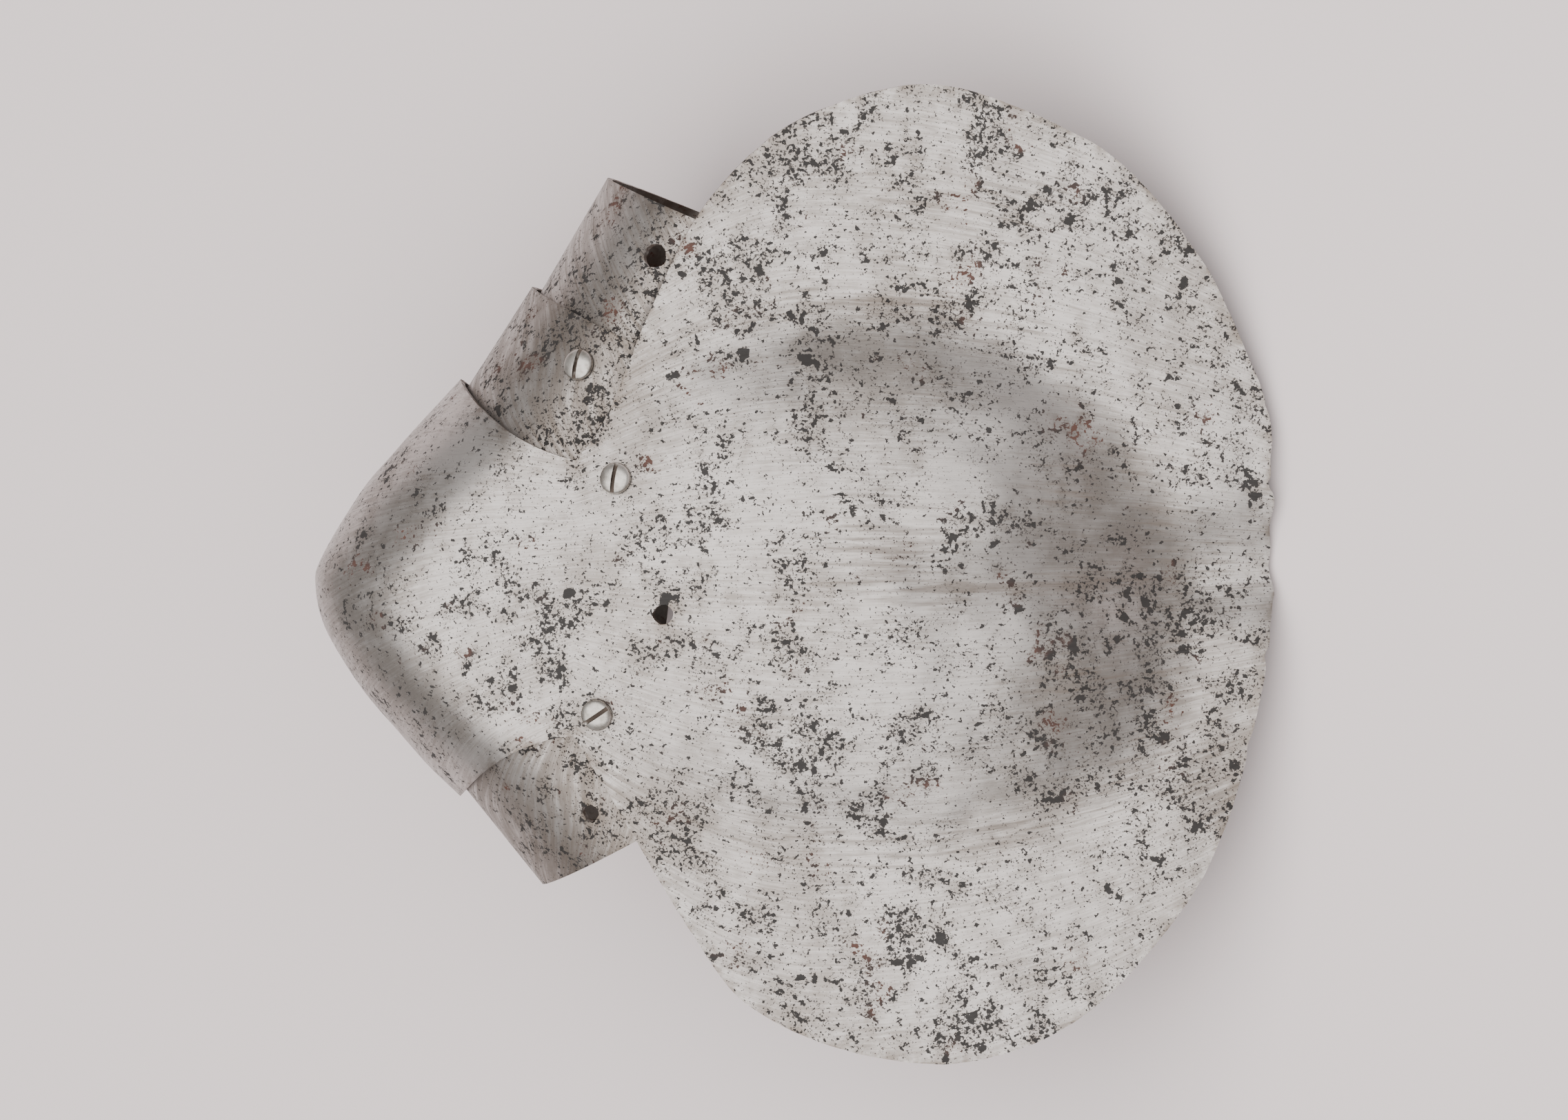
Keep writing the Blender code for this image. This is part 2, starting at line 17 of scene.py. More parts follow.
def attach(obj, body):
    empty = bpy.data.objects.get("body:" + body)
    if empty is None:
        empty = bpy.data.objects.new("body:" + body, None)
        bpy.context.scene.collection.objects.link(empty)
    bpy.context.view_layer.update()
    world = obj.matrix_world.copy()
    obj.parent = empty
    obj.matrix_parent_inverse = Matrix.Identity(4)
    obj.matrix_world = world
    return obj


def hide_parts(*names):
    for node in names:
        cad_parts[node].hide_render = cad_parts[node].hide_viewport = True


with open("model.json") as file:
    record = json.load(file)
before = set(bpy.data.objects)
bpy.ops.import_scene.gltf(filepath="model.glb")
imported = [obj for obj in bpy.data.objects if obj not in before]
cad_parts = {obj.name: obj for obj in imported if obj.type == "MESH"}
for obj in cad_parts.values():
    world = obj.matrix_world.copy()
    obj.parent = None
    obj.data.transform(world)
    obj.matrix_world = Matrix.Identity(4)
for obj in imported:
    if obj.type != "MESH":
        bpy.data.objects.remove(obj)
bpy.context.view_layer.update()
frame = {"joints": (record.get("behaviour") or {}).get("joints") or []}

bl_info = {
    "name": "Elbow couter",
    "version": (1, 0, 0),
    "blender": (4, 5, 0),
    "location": "View3D > Sidebar > Couter",
    "description": "Builds the fine plates, screws and steel of an elbow couter on its packed solids",
    "category": "Object",
}

# The elbow plate
CUP_DEPTH = 0.0620
CUP_MOUTH_HEIGHT = 0.0984
NOSE_DEPTH = 0.0270
EDGE_BOW_UPPER = 0.0028
EDGE_BOW_LOWER = 0.0038
INNER_ARM_REACH = 0.0130
INNER_ARM_CROWN = 0.0080
PLATE_WALL = 0.0014
WING_REACH = 0.1627
WING_HEIGHT = 0.2283
CROWN_HEIGHT = 0.0580
CROWN_REACH = 0.0574
CROWN_RISE = 0.0065
NECK_RISE = 0.0014
BOSS_FALL = 0.0180
BOSS_HALF_HEIGHT = 0.0620
BOSS_FOLD_RATIO = 0.12
VALLEY_BLEND = 0.0036
PINCH_DEPTH = 0.0055
PINCH_RISE = 0.0081
PINCH_HALF_WIDTH = 0.0130
PINCH_START_SHARE = 0.35

# Heights of the wing's relief, as shares of CROWN_HEIGHT
BOSS_DROP_LEFT_SHARE = 0.181
BOSS_DROP_RIGHT_SHARE = 0.550
FLANGE_SHARE = 0.724
FLANGE_LIFT_LEFT_SHARE = 0.026
FLANGE_DROP_RIGHT_SHARE = 0.080

# How the lames nest in the plate over them
LAME_WALL = 0.0012
LAME_CLEARANCE = 0.0012
UPPER_EDGE_GAP = 0.0010
LOWER_EDGE_GAP = 0.0007
SECOND_EDGE_GAP = 0.0012
ARM_TIP_CLEARANCE = 0.0006
UPPER_LEAN_SHARE = 0.917
LOWER_LEAN_SHARE = 0.975
LAME_LOBE = 0.0085
LAME_LOBE_SPREAD = 0.0136

# Pins and open holes: shares of wing reach and cup opening, or back from a lame's free edge
# and in from its nose
UPPER_PIVOT_AT = (0.0658, 0.294)
LOWER_PIVOT_AT = (0.0375, -0.253)
PLATE_HOLE_AT = (0.127, -0.018)
SECOND_SCREW_BACK = 0.0080
SECOND_SCREW_IN = 0.0203
SECOND_HOLE_BACK = 0.0092
SECOND_HOLE_IN = 0.0187
LOWER_HOLE_BACK = 0.0075
LOWER_HOLE_IN = 0.0214
SEAT_GAP = 0.00035
PIN_LIFT_ROUNDS = 8

# Radii of a pin's hole in the plate over a pivot and in the one under it, and of the open holes
PIN_HOLE_RADIUS = 0.0019
SEAT_HOLE_RADIUS = 0.0022
PLATE_HOLE_RADIUS = 0.0024
SECOND_HOLE_RADIUS = 0.0030
LOWER_HOLE_RADIUS = 0.0022

# Fineness: points between two of an outline's, faces round a nose and along an arm, the last
# rings' shares of the way out to the rim, and how far from a place its slope is taken
CURVE_STEPS = 24
NOSE_STEPS = 20
ARM_STEPS = 16
INNER_ARM_STEPS = 14
RIM_RINGS = [0.965, 0.978, 0.988, 0.995]
SLOPE_STEP = 0.0002

# How the brushing leans on the cup and the lames, and closes in towards the wing's sides
CUP_BRUSH_SLOPE = 0.3
LAME_BRUSH_SLOPE = 0.5
BRUSH_SQUEEZE = 0.35

# Waves of the rim and the dents: scale of the slow noise, scale of the fine one, its share.
# They fade towards the rim's ends and the pins, and the cup keeps only a share of the dents.
RIM_WAVES = (90, 340, 0.6)
DENT_WAVES = (46, 130, 0.45)
RIM_CALM_POINTS = 8
PIN_CALM_REACH = 0.012
CUP_DENT_SHARE = 0.2
WING_DENT_START = 0.005
WING_DENT_GROWTH = 0.03

# Brown film at the rim; brown film with painted shade along the valleys, painted shade along the pinch; and
# the pitting where no field lies
RIM_FILM_REACH = 0.0016
VALLEY_SHIFT = 0.0008
VALLEY_SPREAD = 0.0030
VALLEY_FILM_AND_SHADE = 0.45
PINCH_SHADE = 0.4
EVEN_PITTING = 0.3

# The cup's edge in the bending plane, lower end to upper end, as shares of depth and opening
CUP_OUTLINE = [
    (0.448, -0.484), (0.566, -0.413), (0.669, -0.340), (0.821, -0.227),
    (0.958, -0.086), (0.998, 0.015), (0.976, 0.088), (0.821, 0.249),
    (0.703, 0.337), (0.589, 0.418), (0.444, 0.516),
]

# The wing's rim, lower notch to upper notch, as shares of reach and height
WING_OUTLINE = [
    (-0.002, -0.134), (0.041, -0.185), (0.090, -0.244), (0.167, -0.337),
    (0.248, -0.410), (0.387, -0.457), (0.555, -0.470), (0.719, -0.428),
    (0.848, -0.337), (0.924, -0.247), (0.971, -0.138), (0.997, -0.041),
    (1.000, 0.030), (0.999, 0.121), (0.995, 0.194), (0.960, 0.261),
    (0.896, 0.353), (0.782, 0.450), (0.640, 0.505), (0.513, 0.530),
    (0.387, 0.514), (0.269, 0.470), (0.174, 0.393), (0.108, 0.299),
    (0.046, 0.192), (0.002, 0.147),
]

# Small bites and bulges of the wing's right rim: (height up the arm, outward move, half width).
# The right rim is what lies beyond a share of the wing's reach.
RIGHT_RIM_SHARE = 0.9
RIM_NICKS = [
    (0.0335, -0.0003, 0.0022), (0.0278, -0.0009, 0.0012), (0.0236, 0.0007, 0.0026),
    (0.0172, -0.0005, 0.0030), (0.0085, -0.0007, 0.0034), (0.0024, 0.0006, 0.0020),
    (-0.0058, -0.0003, 0.0028), (-0.0125, -0.0009, 0.0016), (-0.0330, -0.0005, 0.0020),
    (0.0462, -0.0004, 0.0016),
]

# Where the pitting is heaviest, in millimetres: (X, Y, reach, depth), for the wing and the cup
WING_PITS = [
    (59, 107, 7, 0.80), (51, 98, 5, 0.90), (43, 97, 4, 0.80), (34, 82, 11, 0.45), (76, 101, 7, 0.70),
    (94, 114, 6, 0.70), (104, 98, 9, 0.50), (85, 88, 16, 0.40), (74, 80, 6, 0.75), (106, 77, 6, 0.70),
    (129, 92, 9, 0.80), (135, 86, 7, 0.80), (124, 76, 12, 0.40), (144, 68, 6, 0.70), (124, 61, 5, 0.80),
    (143, 50, 9, 0.70), (151, 46, 7, 0.80), (155, 40, 9, 0.75), (159, 31, 9, 0.60), (143, 29, 6, 0.60),
    (53, 58, 10, 0.65), (57, 50, 6, 0.95), (62, 41, 7, 0.60), (40, 59, 12, 0.40), (32, 38, 4, 0.90),
    (85, 61, 19, 0.38), (116, 39, 8, 0.70), (127, 40, 4, 0.80), (112, 29, 8, 0.60), (88, 17, 7, 0.75),
    (97, 22, 4, 0.80), (98, 13, 5, 0.70), (44, 9, 7, 0.75), (62, 22, 4, 0.60), (50, -7, 7, 0.75),
    (73, -7, 4, 0.70), (73, -16, 3, 0.80), (44, -23, 9, 0.50), (51, -33, 8, 1.00), (46, -38, 7, 0.70),
    (60, -28, 6, 0.70), (81, -28, 7, 0.90), (80, -37, 6, 0.70), (107, -10, 11, 0.85), (120, -13, 8, 0.75),
    (112, -26, 8, 0.65), (132, -22, 9, 0.60), (147, -34, 11, 0.50), (137, -52, 10, 0.55),
    (153, -13, 12, 0.60), (75, -52, 6, 0.80), (55, -43, 10, 0.45), (85, -70, 7, 0.90), (68, -75, 8, 0.60),
    (71, -89, 10, 0.60), (90, -100, 8, 0.80), (50, -92, 7, 0.60), (40, -76, 12, 0.60), (31, -65, 9, 0.60),
    (23, -55, 9, 0.60), (17, -47, 6, 0.70), (26, -8, 6, 0.60), (19, 32, 6, 0.50),
]
CUP_PITS = [
    (-30, 25, 6, 0.80), (-24, 11, 7, 0.50), (-15, 7, 8, 0.70), (-26, -2, 9, 0.70), (-32, -7, 4, 0.80),
    (-22, 31, 4, 0.60), (-49, 13, 5, 0.70), (1, -4, 9, 0.60), (-8, -16, 9, 0.50), (-16, -26, 7, 0.40),
    (-4, -25, 6, 0.60), (-43, -2, 7, 0.40),
]

# Brown smudges mixed with painted shade where the wing's slopes and creases look darker, in millimetres:
# (X, Y, reach along, reach across, depth)
SMUDGES_AND_SHADE = [
    (70, 70, 21, 4.0, 0.80), (103, 64, 14, 5.0, 0.45), (95, 4.5, 28, 2.4, 0.90), (123, 5, 20, 4.5, 0.55),
    (114, 28, 11, 9, 0.50), (116, -16, 16, 8, 0.55), (95, -52, 22, 4.0, 0.40), (140, -40, 12, 8, 0.35),
    (140, 47, 7, 9, 0.40), (84, 50, 20, 7, 0.30), (74, 12, 20, 12, 0.62), (150, -42, 10, 14, 0.65),
    (92, 94, 28, 12, 0.50), (40, -28, 16, 8, 0.30),
]

# Scales of the steel's brushing along and across its strokes
FINE_BRUSH = (190.0, 3800.0, 1.0)
STROKE_BRUSH = (85.0, 1500.0, 1.0)
SMEAR_BRUSH = (48.0, 640.0, 1.0)

# Layers of pits from specks to blots: (shift, scale, detail, the noise's threshold where pits are
# sparse, where they are dense, softness, depth), and how far the settings' pitting goes
PIT_LAYERS = [
    ((0.3, 0.9, 0.1), 1700.0, 2.0, 0.675, 0.580, 0.030, 0.8),
    ((0.5, 0.1, 0.8), 850.0, 2.5, 0.685, 0.570, 0.020, 1.0),
    ((0.2, 0.4, 0.6), 440.0, 3.5, 0.695, 0.590, 0.014, 1.0),
    ((0.8, 0.6, 0.2), 220.0, 4.5, 0.715, 0.625, 0.008, 1.0),
]
PIT_DENSITY = 2.4
PIT_DENSITY_MOST = 1.1

# Bright and dull colours of the screws and the hidden rivets, and how a rivet's head differs
SCREW_COLOURS = ((0.50, 0.475, 0.44, 1.0), (0.30, 0.275, 0.245, 1.0))
RIVET_COLOURS = ((0.30, 0.27, 0.25, 1.0), (0.16, 0.13, 0.115, 1.0))
FLAT_HEAD = {"Head radius": 0.0035, "Head height": 0.0009, "Head rim": 0.0009, "Roundness": 0.0,
             "Slot depth": 0.0}

# The light, the sky and the camera; the camera's aim is in the arm's frame
LIGHT_AT = Vector((0.22, -0.05, 1.5))
LIGHT_AIM = Vector((0.0, 0.0, 0.05))
LIGHT_SIZE = (3.3, 3.0)
LIGHT_POWER = 76.0
LIGHT_COLOUR = (1.0, 0.98, 0.965)
SKY_COLOUR = (0.96, 0.945, 0.94, 1.0)
SKY_STRENGTH = 0.58
FLOOR_HALF = 4.0
SENSOR_WIDTH = 36.0
CAMERA_AIM = Vector((0.0488, 0.00966, 0.030))
CAMERA_TILT_DEG = 3.0
SIGHT_END = 20.0


def arm_frame():
    """The matrix from the arm's frame to the row's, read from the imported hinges."""
    hinges = {joint["name"]: joint for joint in frame["joints"]}
    z_way = Vector(hinges["first_upper_hinge"]["axis"]).normalized()
    upper = Vector(hinges["first_upper_hinge"]["pos_m"])
    lower = Vector(hinges["lower_hinge"]["pos_m"])
    upper_flat = on_plate(UPPER_PIVOT_AT)
    lean = math.atan2(*(upper_flat - on_plate(LOWER_PIVOT_AT)).yx)
    line = (upper - lower).normalized()
    x_way = line * math.cos(lean) + line.cross(z_way) * math.sin(lean)
    x_way = (x_way - z_way * x_way.dot(z_way)).normalized()
    y_way = z_way.cross(x_way)
    turn = Matrix((x_way, y_way, z_way)).transposed()
    origin = upper - turn @ upper_flat.to_3d()
    return Matrix.Translation(origin) @ turn.to_4x4()


def on_plate(at):
    """A place on the elbow plate from its shares of wing reach and cup opening."""
    return Vector((at[0] * WING_REACH, at[1] * CUP_MOUTH_HEIGHT))


def reaches(spots):
    """How far along a line of points each of them lies."""
    return np.concatenate([[0], np.cumsum(np.linalg.norm(np.diff(spots, axis=0), axis=1))])


def smooth_line(points, steps):
    """Points evenly spaced along a Catmull-Rom curve through the given ones."""
    spots = np.array(points, float)
    ends = np.vstack([2 * spots[0] - spots[1], spots, 2 * spots[-1] - spots[-2]])
    s = np.linspace(0, 1, CURVE_STEPS, endpoint=False)[:, None]
    fine = []
    for before, start, end, after in zip(ends, ends[1:], ends[2:], ends[3:]):
        fine.append(0.5 * (2 * start + (end - before) * s
                           + (2 * before - 5 * start + 4 * end - after) * s ** 2
                           + (3 * start - before - 3 * end + after) * s ** 3))
    fine = np.vstack(fine + [spots[-1:]])
    reach = reaches(fine)
    wanted = np.linspace(0, reach[-1], steps + 1)
    return np.column_stack([np.interp(wanted, reach, fine[:, axis]) for axis in (0, 1)])


def relief(x, y):
    """The wing's boss and flange heights, and how deep its pinch runs, at places x, y."""
    dx = x - CROWN_REACH
    right_span = WING_REACH - CROWN_REACH
    left = np.minimum(dx, 0) / CROWN_REACH
    along = np.maximum(dx, 0) / right_span
    dy = y - CROWN_RISE - (NECK_RISE - CROWN_RISE) * left ** 2 + BOSS_FALL * along ** 2
    right = np.maximum(dx - BOSS_FOLD_RATIO * np.abs(dy), 0) / right_span
    boss = CROWN_HEIGHT * (1 - BOSS_DROP_LEFT_SHARE * left ** 2 - BOSS_DROP_RIGHT_SHARE * right ** 2
                           - (1 - FLANGE_SHARE) * (dy / BOSS_HALF_HEIGHT) ** 2)
    flange = CROWN_HEIGHT * (FLANGE_SHARE + FLANGE_LIFT_LEFT_SHARE * left ** 2
                             - FLANGE_DROP_RIGHT_SHARE * along ** 2)
    line = CROWN_RISE + (PINCH_RISE - CROWN_RISE) * along
    width = PINCH_HALF_WIDTH * (PINCH_START_SHARE + (1 - PINCH_START_SHARE) * along)
    return boss, flange, along * np.exp(-((y - line) / width) ** 2)


def wing_height(x, y):
    """Height of the wing's outer face over the bending plane."""
    boss, flange, pinch = relief(x, y)
    near = np.maximum(VALLEY_BLEND - np.abs(boss - flange), 0) / VALLEY_BLEND
    return np.maximum(boss, flange) + near ** 2 * VALLEY_BLEND / 4 - PINCH_DEPTH * pinch


def slope_at(height, place, way):
    """How steeply a face rises along a flat way at a place."""
    ahead, behind = place + way * SLOPE_STEP, place - way * SLOPE_STEP
    return float(height(*ahead) - height(*behind)) / (2 * SLOPE_STEP)


def nose(distance, depth):
    """Rise of the rounded nose, from 0 at the edge-on line to 1 at its depth."""
    return np.sqrt(np.maximum(0, 1 - (1 - np.minimum(distance / depth, 1)) ** 2))


def stations(depth, end):
    """Distances from the edge-on line: round the nose, then along the arm."""
    nose_depth = min(depth, 0.9 * end)
    turn = np.linspace(0, math.pi / 2, NOSE_STEPS + 1)[1:]
    along = np.linspace(nose_depth, end, ARM_STEPS + 1)[1:]
    return np.concatenate([nose_depth * (1 - np.cos(turn)), along])


def waves(place, scale, fine_scale, fine_share):
    """Slow noise with finer noise on it."""
    return noise.noise(place * scale) + fine_share * noise.noise(place * fine_scale)


class Sheet:
    """A plate's outer face as it grows: spots, faces and the lay of its brushing."""

    def __init__(self):
        self.spots = []
        self.lay = []
        self.faces = []

    def add(self, spots, lay):
        """Add rows of points and their brushing coordinates, and return their indices."""
        first = len(self.spots)
        self.spots.extend(map(tuple, spots))
        self.lay.extend(map(tuple, lay))
        return list(range(first, len(self.spots)))

    def join(self, lower, upper, flip=False):
        """Join two rows of points with quads."""
        for here in range(len(lower) - 1):
            face = (lower[here], lower[here + 1], upper[here + 1], upper[here])
            self.faces.append(face[::-1] if flip else face)

    def punch(self, spot, way, radius, ragged, seed):
        """Open a hole about a line square to the plate, its edge a little ragged."""
        points = np.array(self.spots)
        offset = points - np.array(spot)
        height = offset @ np.array(way)
        flat = offset - height[:, None] * np.array(way)
        reach = np.linalg.norm(flat, axis=1)
        inside = (reach < radius) & (np.abs(height) < 4 * PLATE_WALL)
        gone = [face for face in self.faces if sum(inside[i] for i in face) * 2 > len(face)]
        kept = [face for face in self.faces if sum(inside[i] for i in face) * 2 <= len(face)]
        border = {i for face in gone for i in face} & {i for face in kept for i in face}
        for i in border:
            turn = Vector(flat[i]).normalized()
            wobble = 1 + ragged * noise.noise(turn * 2.1 + Vector((seed, 0, 0)))
            place = points[i] + flat[i] / reach[i] * (radius * wobble - reach[i])
            self.spots[i] = tuple(place)
        self.faces = kept


def elbow_sheet(sizes):
    """The elbow plate's outer face: the cup's ribs, then the wing's rings."""
    rows, rim_steps = sizes.cup_rows, sizes.rim_steps
    edge = smooth_line([(-depth * CUP_DEPTH, rise * CUP_MOUTH_HEIGHT) for depth, rise in CUP_OUTLINE], rows)
    rim = smooth_line([(reach * WING_REACH, rise * WING_HEIGHT) for reach, rise in WING_OUTLINE], rim_steps)
    rim = worn_rim(rim, sizes.rim_wear)
    sheet = Sheet()
    ribs = []
    for row in range(rows + 1):
        share = row / rows
        swing = 2 * share - 1
        neck = rim[0] * (1 - share) + rim[-1] * share
        inner = np.array((INNER_ARM_REACH + INNER_ARM_CROWN * (1 - swing ** 2),
                          neck[1] + EDGE_BOW_LOWER * swing))
        bow = (EDGE_BOW_UPPER if swing > 0 else -EDGE_BOW_LOWER) * swing ** 2
        spots = cup_rib(edge[row], neck, inner, bow)
        reach = reaches(spots)
        across = brush_lay(neck[0], neck[1])[1]
        along = neck[0] + reach - reach[-1]
        lay = np.column_stack([along, across - CUP_BRUSH_SLOPE * (along - neck[0])])
        ribs.append(sheet.add(spots, lay))
    for lower, upper in zip(ribs, ribs[1:]):
        sheet.join(lower, upper)
    middle = np.array((CROWN_REACH, CROWN_RISE))
    inner_rim = rim[1:-1]
    border_flat = np.vstack([[sheet.spots[rib[-1]][:2] for rib in ribs[::-1]], inner_rim])
    border = [rib[-1] for rib in ribs[::-1]] + sheet.add(*wing_rows(inner_rim))
    shares = np.concatenate([np.linspace(0, RIM_RINGS[0], sizes.wing_rings)[1:], RIM_RINGS[1:]])
    rings = [sheet.add(*wing_rows(middle + (border_flat - middle) * share)) for share in shares]
    rings.append(border)
    for inside, outside in zip(rings, rings[1:]):
        sheet.join(inside + inside[:1], outside + outside[:1], flip=True)
    top = sheet.add(*wing_rows(middle[None]))[0]
    first = rings[0] + rings[0][:1]
    sheet.faces += [(top, here, after) for here, after in zip(first, first[1:])]
    return sheet


def worn_rim(rim, wear):
    """The wing's rim with its slow waves, small bites and bulges."""
    way = np.gradient(rim, axis=0)
    out = np.column_stack([way[:, 1], -way[:, 0]]) / np.linalg.norm(way, axis=1)[:, None]
    move = np.zeros(len(rim))
    for index, spot in enumerate(rim):
        move[index] = wear * waves(Vector((spot[0], spot[1], 0.0)), *RIM_WAVES)
    for height, outward, half_width in RIM_NICKS:
        bite = outward * np.exp(-((rim[:, 1] - height) / half_width) ** 2)
        move += np.where(rim[:, 0] > RIGHT_RIM_SHARE * WING_REACH, bite, 0)
    ends = np.minimum(np.arange(len(rim)), np.arange(len(rim))[::-1]) / RIM_CALM_POINTS
    return rim + out * (move * np.clip(ends, 0, 1))[:, None]


def brush_lay(x, y):
    """Where a place lies along and across the brushing, which follows the boss."""
    dx = x - CROWN_REACH
    share = np.where(dx < 0, dx / CROWN_REACH, dx / (WING_REACH - CROWN_REACH))
    return x, (y - CROWN_RISE) / (1 - BRUSH_SQUEEZE * np.minimum(share ** 2, 1))


def wing_rows(flat):
    """Points of the wing over flat places, with their brushing coordinates."""
    x, y = flat[:, 0], flat[:, 1]
    return np.column_stack([x, y, wing_height(x, y)]), np.column_stack(brush_lay(x, y))


def cup_rib(start, neck, inner_end, bow):
    """One rib of the cup, from the inner arm's end round the nose to the neck."""
    length = np.linalg.norm(neck - start)
    along = (neck - start) / length
    across = np.array((along[1], -along[0]))
    slope = slope_at(wing_height, neck, along)
    rise = wing_height(*neck) - slope * length
    distance = stations(NOSE_DEPTH, length)
    share = (distance / length)[:, None]
    flat = start + along * distance[:, None] + across * bow * 4 * share * (1 - share)
    half = np.column_stack([flat, rise * nose(distance, NOSE_DEPTH) + slope * distance])
    share = np.linspace(0, 1, INNER_ARM_STEPS + 1)[1:, None]
    flat = neck * (1 - share) + inner_end * share
    arm = np.column_stack([flat, wing_height(flat[:, 0], flat[:, 1])])
    inner = np.vstack([half, arm])[::-1] * (1, 1, -1)
    return np.vstack([inner, [(start[0], start[1], 0)], half])


class Lame:
    """Where a lame lies: its pivot, the way it runs and how it nests in the plate over it."""

    def __init__(self, pivot, axis_deg, side, free, slope, tail, free_arm):
        turn = math.radians(axis_deg)
        self.pivot = pivot
        self.side = side
        self.axis = Vector((math.cos(turn), math.sin(turn)))
        self.inward = Vector((self.axis.y, -self.axis.x)) * side
        self.free = free
        self.slope = slope
        self.tail = tail
        self.free_arm = free_arm

    def nest(self, outer_edge, step, lean, height_over, outer_nose_depth, plates_over):
        """Set the lame a step inside an edge-on point of the plate over it, its arm leaning."""
        self.lean = lean
        self.depth = (self.pivot - outer_edge).dot(self.inward) - step
        self.nose_depth = outer_nose_depth - step
        under = PLATE_WALL / math.cos(math.atan(lean)) + LAME_CLEARANCE
        full_rise = nose(self.depth, self.nose_depth)
        self.rise = (height_over - under - lean * self.depth) / full_rise
        self.under_wing = (PLATE_WALL + (plates_over - 1) * LAME_WALL
                           + plates_over * LAME_CLEARANCE + ARM_TIP_CLEARANCE)

    def spot(self, along, distance):
        """A place in the bending plane, along the lame and in from its nose."""
        return self.pivot + self.axis * along + self.inward * (distance - self.depth)

    def height(self, x, y):
        """Height of the lame's outer face over a place, kept under the elbow plate's wing."""
        distance = (x - self.pivot.x) * self.inward.x + (y - self.pivot.y) * self.inward.y + self.depth
        own = self.rise * nose(distance, self.nose_depth) + self.lean * distance
        held = np.minimum(own, wing_height(x, y) - self.under_wing)
        return np.where(distance < self.nose_depth, own, held)

    def sheet(self, rows):
        """The lame's outer face, from the inner arm's end to the outer one's."""
        pivot_end = self.depth + LAME_LOBE
        sheet = Sheet()
        lines = []
        for row in range(rows + 1):
            share = row / rows
            middle = -self.tail + (self.tail + self.free) * share
            lobe = math.exp(-(middle / LAME_LOBE_SPREAD) ** 2)
            end = self.free_arm + (pivot_end - self.free_arm) * lobe
            arm = stations(self.nose_depth, end)
            distance = np.concatenate([arm[::-1], [0.0], arm])
            sign = np.concatenate([-np.ones(len(arm)), np.ones(len(arm) + 1)])
            along = -self.tail + (self.tail + self.free + self.slope * distance) * share
            flat = (np.array(self.pivot) + np.outer(along, self.axis)
                    + np.outer(distance - self.depth, self.inward))
            height = sign * self.height(flat[:, 0], flat[:, 1])
            spots = np.column_stack([flat, height])
            reach = reaches(spots)
            lines.append(sheet.add(spots, np.column_stack([reach, along + LAME_BRUSH_SLOPE * reach])))
        for lower, upper in zip(lines, lines[1:]):
            sheet.join(lower, upper, flip=self.side < 0)
        return sheet


def lay_out():
    """The three lames where they are nested and pinned."""
    edge = [Vector((-depth * CUP_DEPTH, rise * CUP_MOUTH_HEIGHT)) for depth, rise in CUP_OUTLINE]
    pivot = on_plate(UPPER_PIVOT_AT)
    upper = Lame(pivot, axis_deg=57.3, side=1, free=0.0252, slope=0.115, tail=0.0100, free_arm=0.0310)
    lean = UPPER_LEAN_SHARE * slope_at(wing_height, pivot, upper.inward)
    upper.nest(edge[-1], PLATE_WALL + UPPER_EDGE_GAP, lean, float(wing_height(*pivot)), NOSE_DEPTH,
               plates_over=1)
    pivot = on_plate(LOWER_PIVOT_AT)
    lower = Lame(pivot, axis_deg=-51.2, side=-1, free=0.0249, slope=0.16, tail=0.0120, free_arm=0.0300)
    lean = LOWER_LEAN_SHARE * slope_at(wing_height, pivot, lower.inward)
    lower.nest(edge[0], PLATE_WALL + LOWER_EDGE_GAP, lean, float(wing_height(*pivot)), NOSE_DEPTH,
               plates_over=1)
    pivot = upper.spot(upper.free - SECOND_SCREW_BACK, SECOND_SCREW_IN)
    second = Lame(pivot, axis_deg=59.7, side=1, free=0.0401, slope=0.13, tail=0.0080, free_arm=0.0320)
    held = float(upper.height(*upper.spot(0.0, SECOND_SCREW_IN)))
    second.nest(upper.spot(upper.free, 0.0), LAME_WALL + SECOND_EDGE_GAP, upper.lean, held,
                upper.nose_depth, plates_over=2)
    return upper, second, lower


def outer_point(height, place, side):
    """Where a face stands over a place on one side of the arm, and how it faces."""
    x, y = place
    rises = [slope_at(height, np.array(place), axis) for axis in np.eye(2)]
    way = Vector((-rises[0], -rises[1], 1.0)).normalized()
    return Vector((x, y, side * float(height(x, y)))), Vector((way.x, way.y, side * way.z))


class Pin:
    """A screw or rivet through two plates: where it seats, how it points and how long it is."""

    def __init__(self, over, under, place, side, slot_deg):
        way = outer_point(over, place, side)[1]
        seat = outer_point(under, place, side)[0]
        lift = 0.0
        for _ in range(PIN_LIFT_ROUNDS):
            spot = seat + way * lift
            lift += (float(over(spot.x, spot.y)) - side * spot.z) * side * way.z
        self.way = way
        self.seat = seat
        self.spot = seat + way * lift
        self.grip = lift + LAME_WALL + SEAT_GAP
        self.slot = math.radians(slot_deg)


def pins(upper, second, lower):
    """The screw and the hidden rivet at each of the three pivots."""
    found = {}
    for name, over, under, place, slot_deg in (
            ("upper", wing_height, upper.height, upper.pivot, 82.0),
            ("lames", upper.height, second.height, second.pivot, 80.0),
            ("lower", wing_height, lower.height, lower.pivot, 35.0)):
        found[name] = (Pin(over, under, place, 1, slot_deg), Pin(over, under, place, -1, 0.0))
    return found


def face_spot(lame, place):
    """The spot on a lame's outer face over a place."""
    return outer_point(lame.height, place, 1)[0]


REST = arm_frame()
UPPER, SECOND, LOWER = lay_out()
PINS = pins(UPPER, SECOND, LOWER)
PLATE_HOLE = on_plate(PLATE_HOLE_AT)
SECOND_HOLE = SECOND.spot(SECOND.free - SECOND_HOLE_BACK, SECOND_HOLE_IN)
LOWER_HOLE = LOWER.spot(LOWER.free - LOWER_HOLE_BACK, LOWER_HOLE_IN)

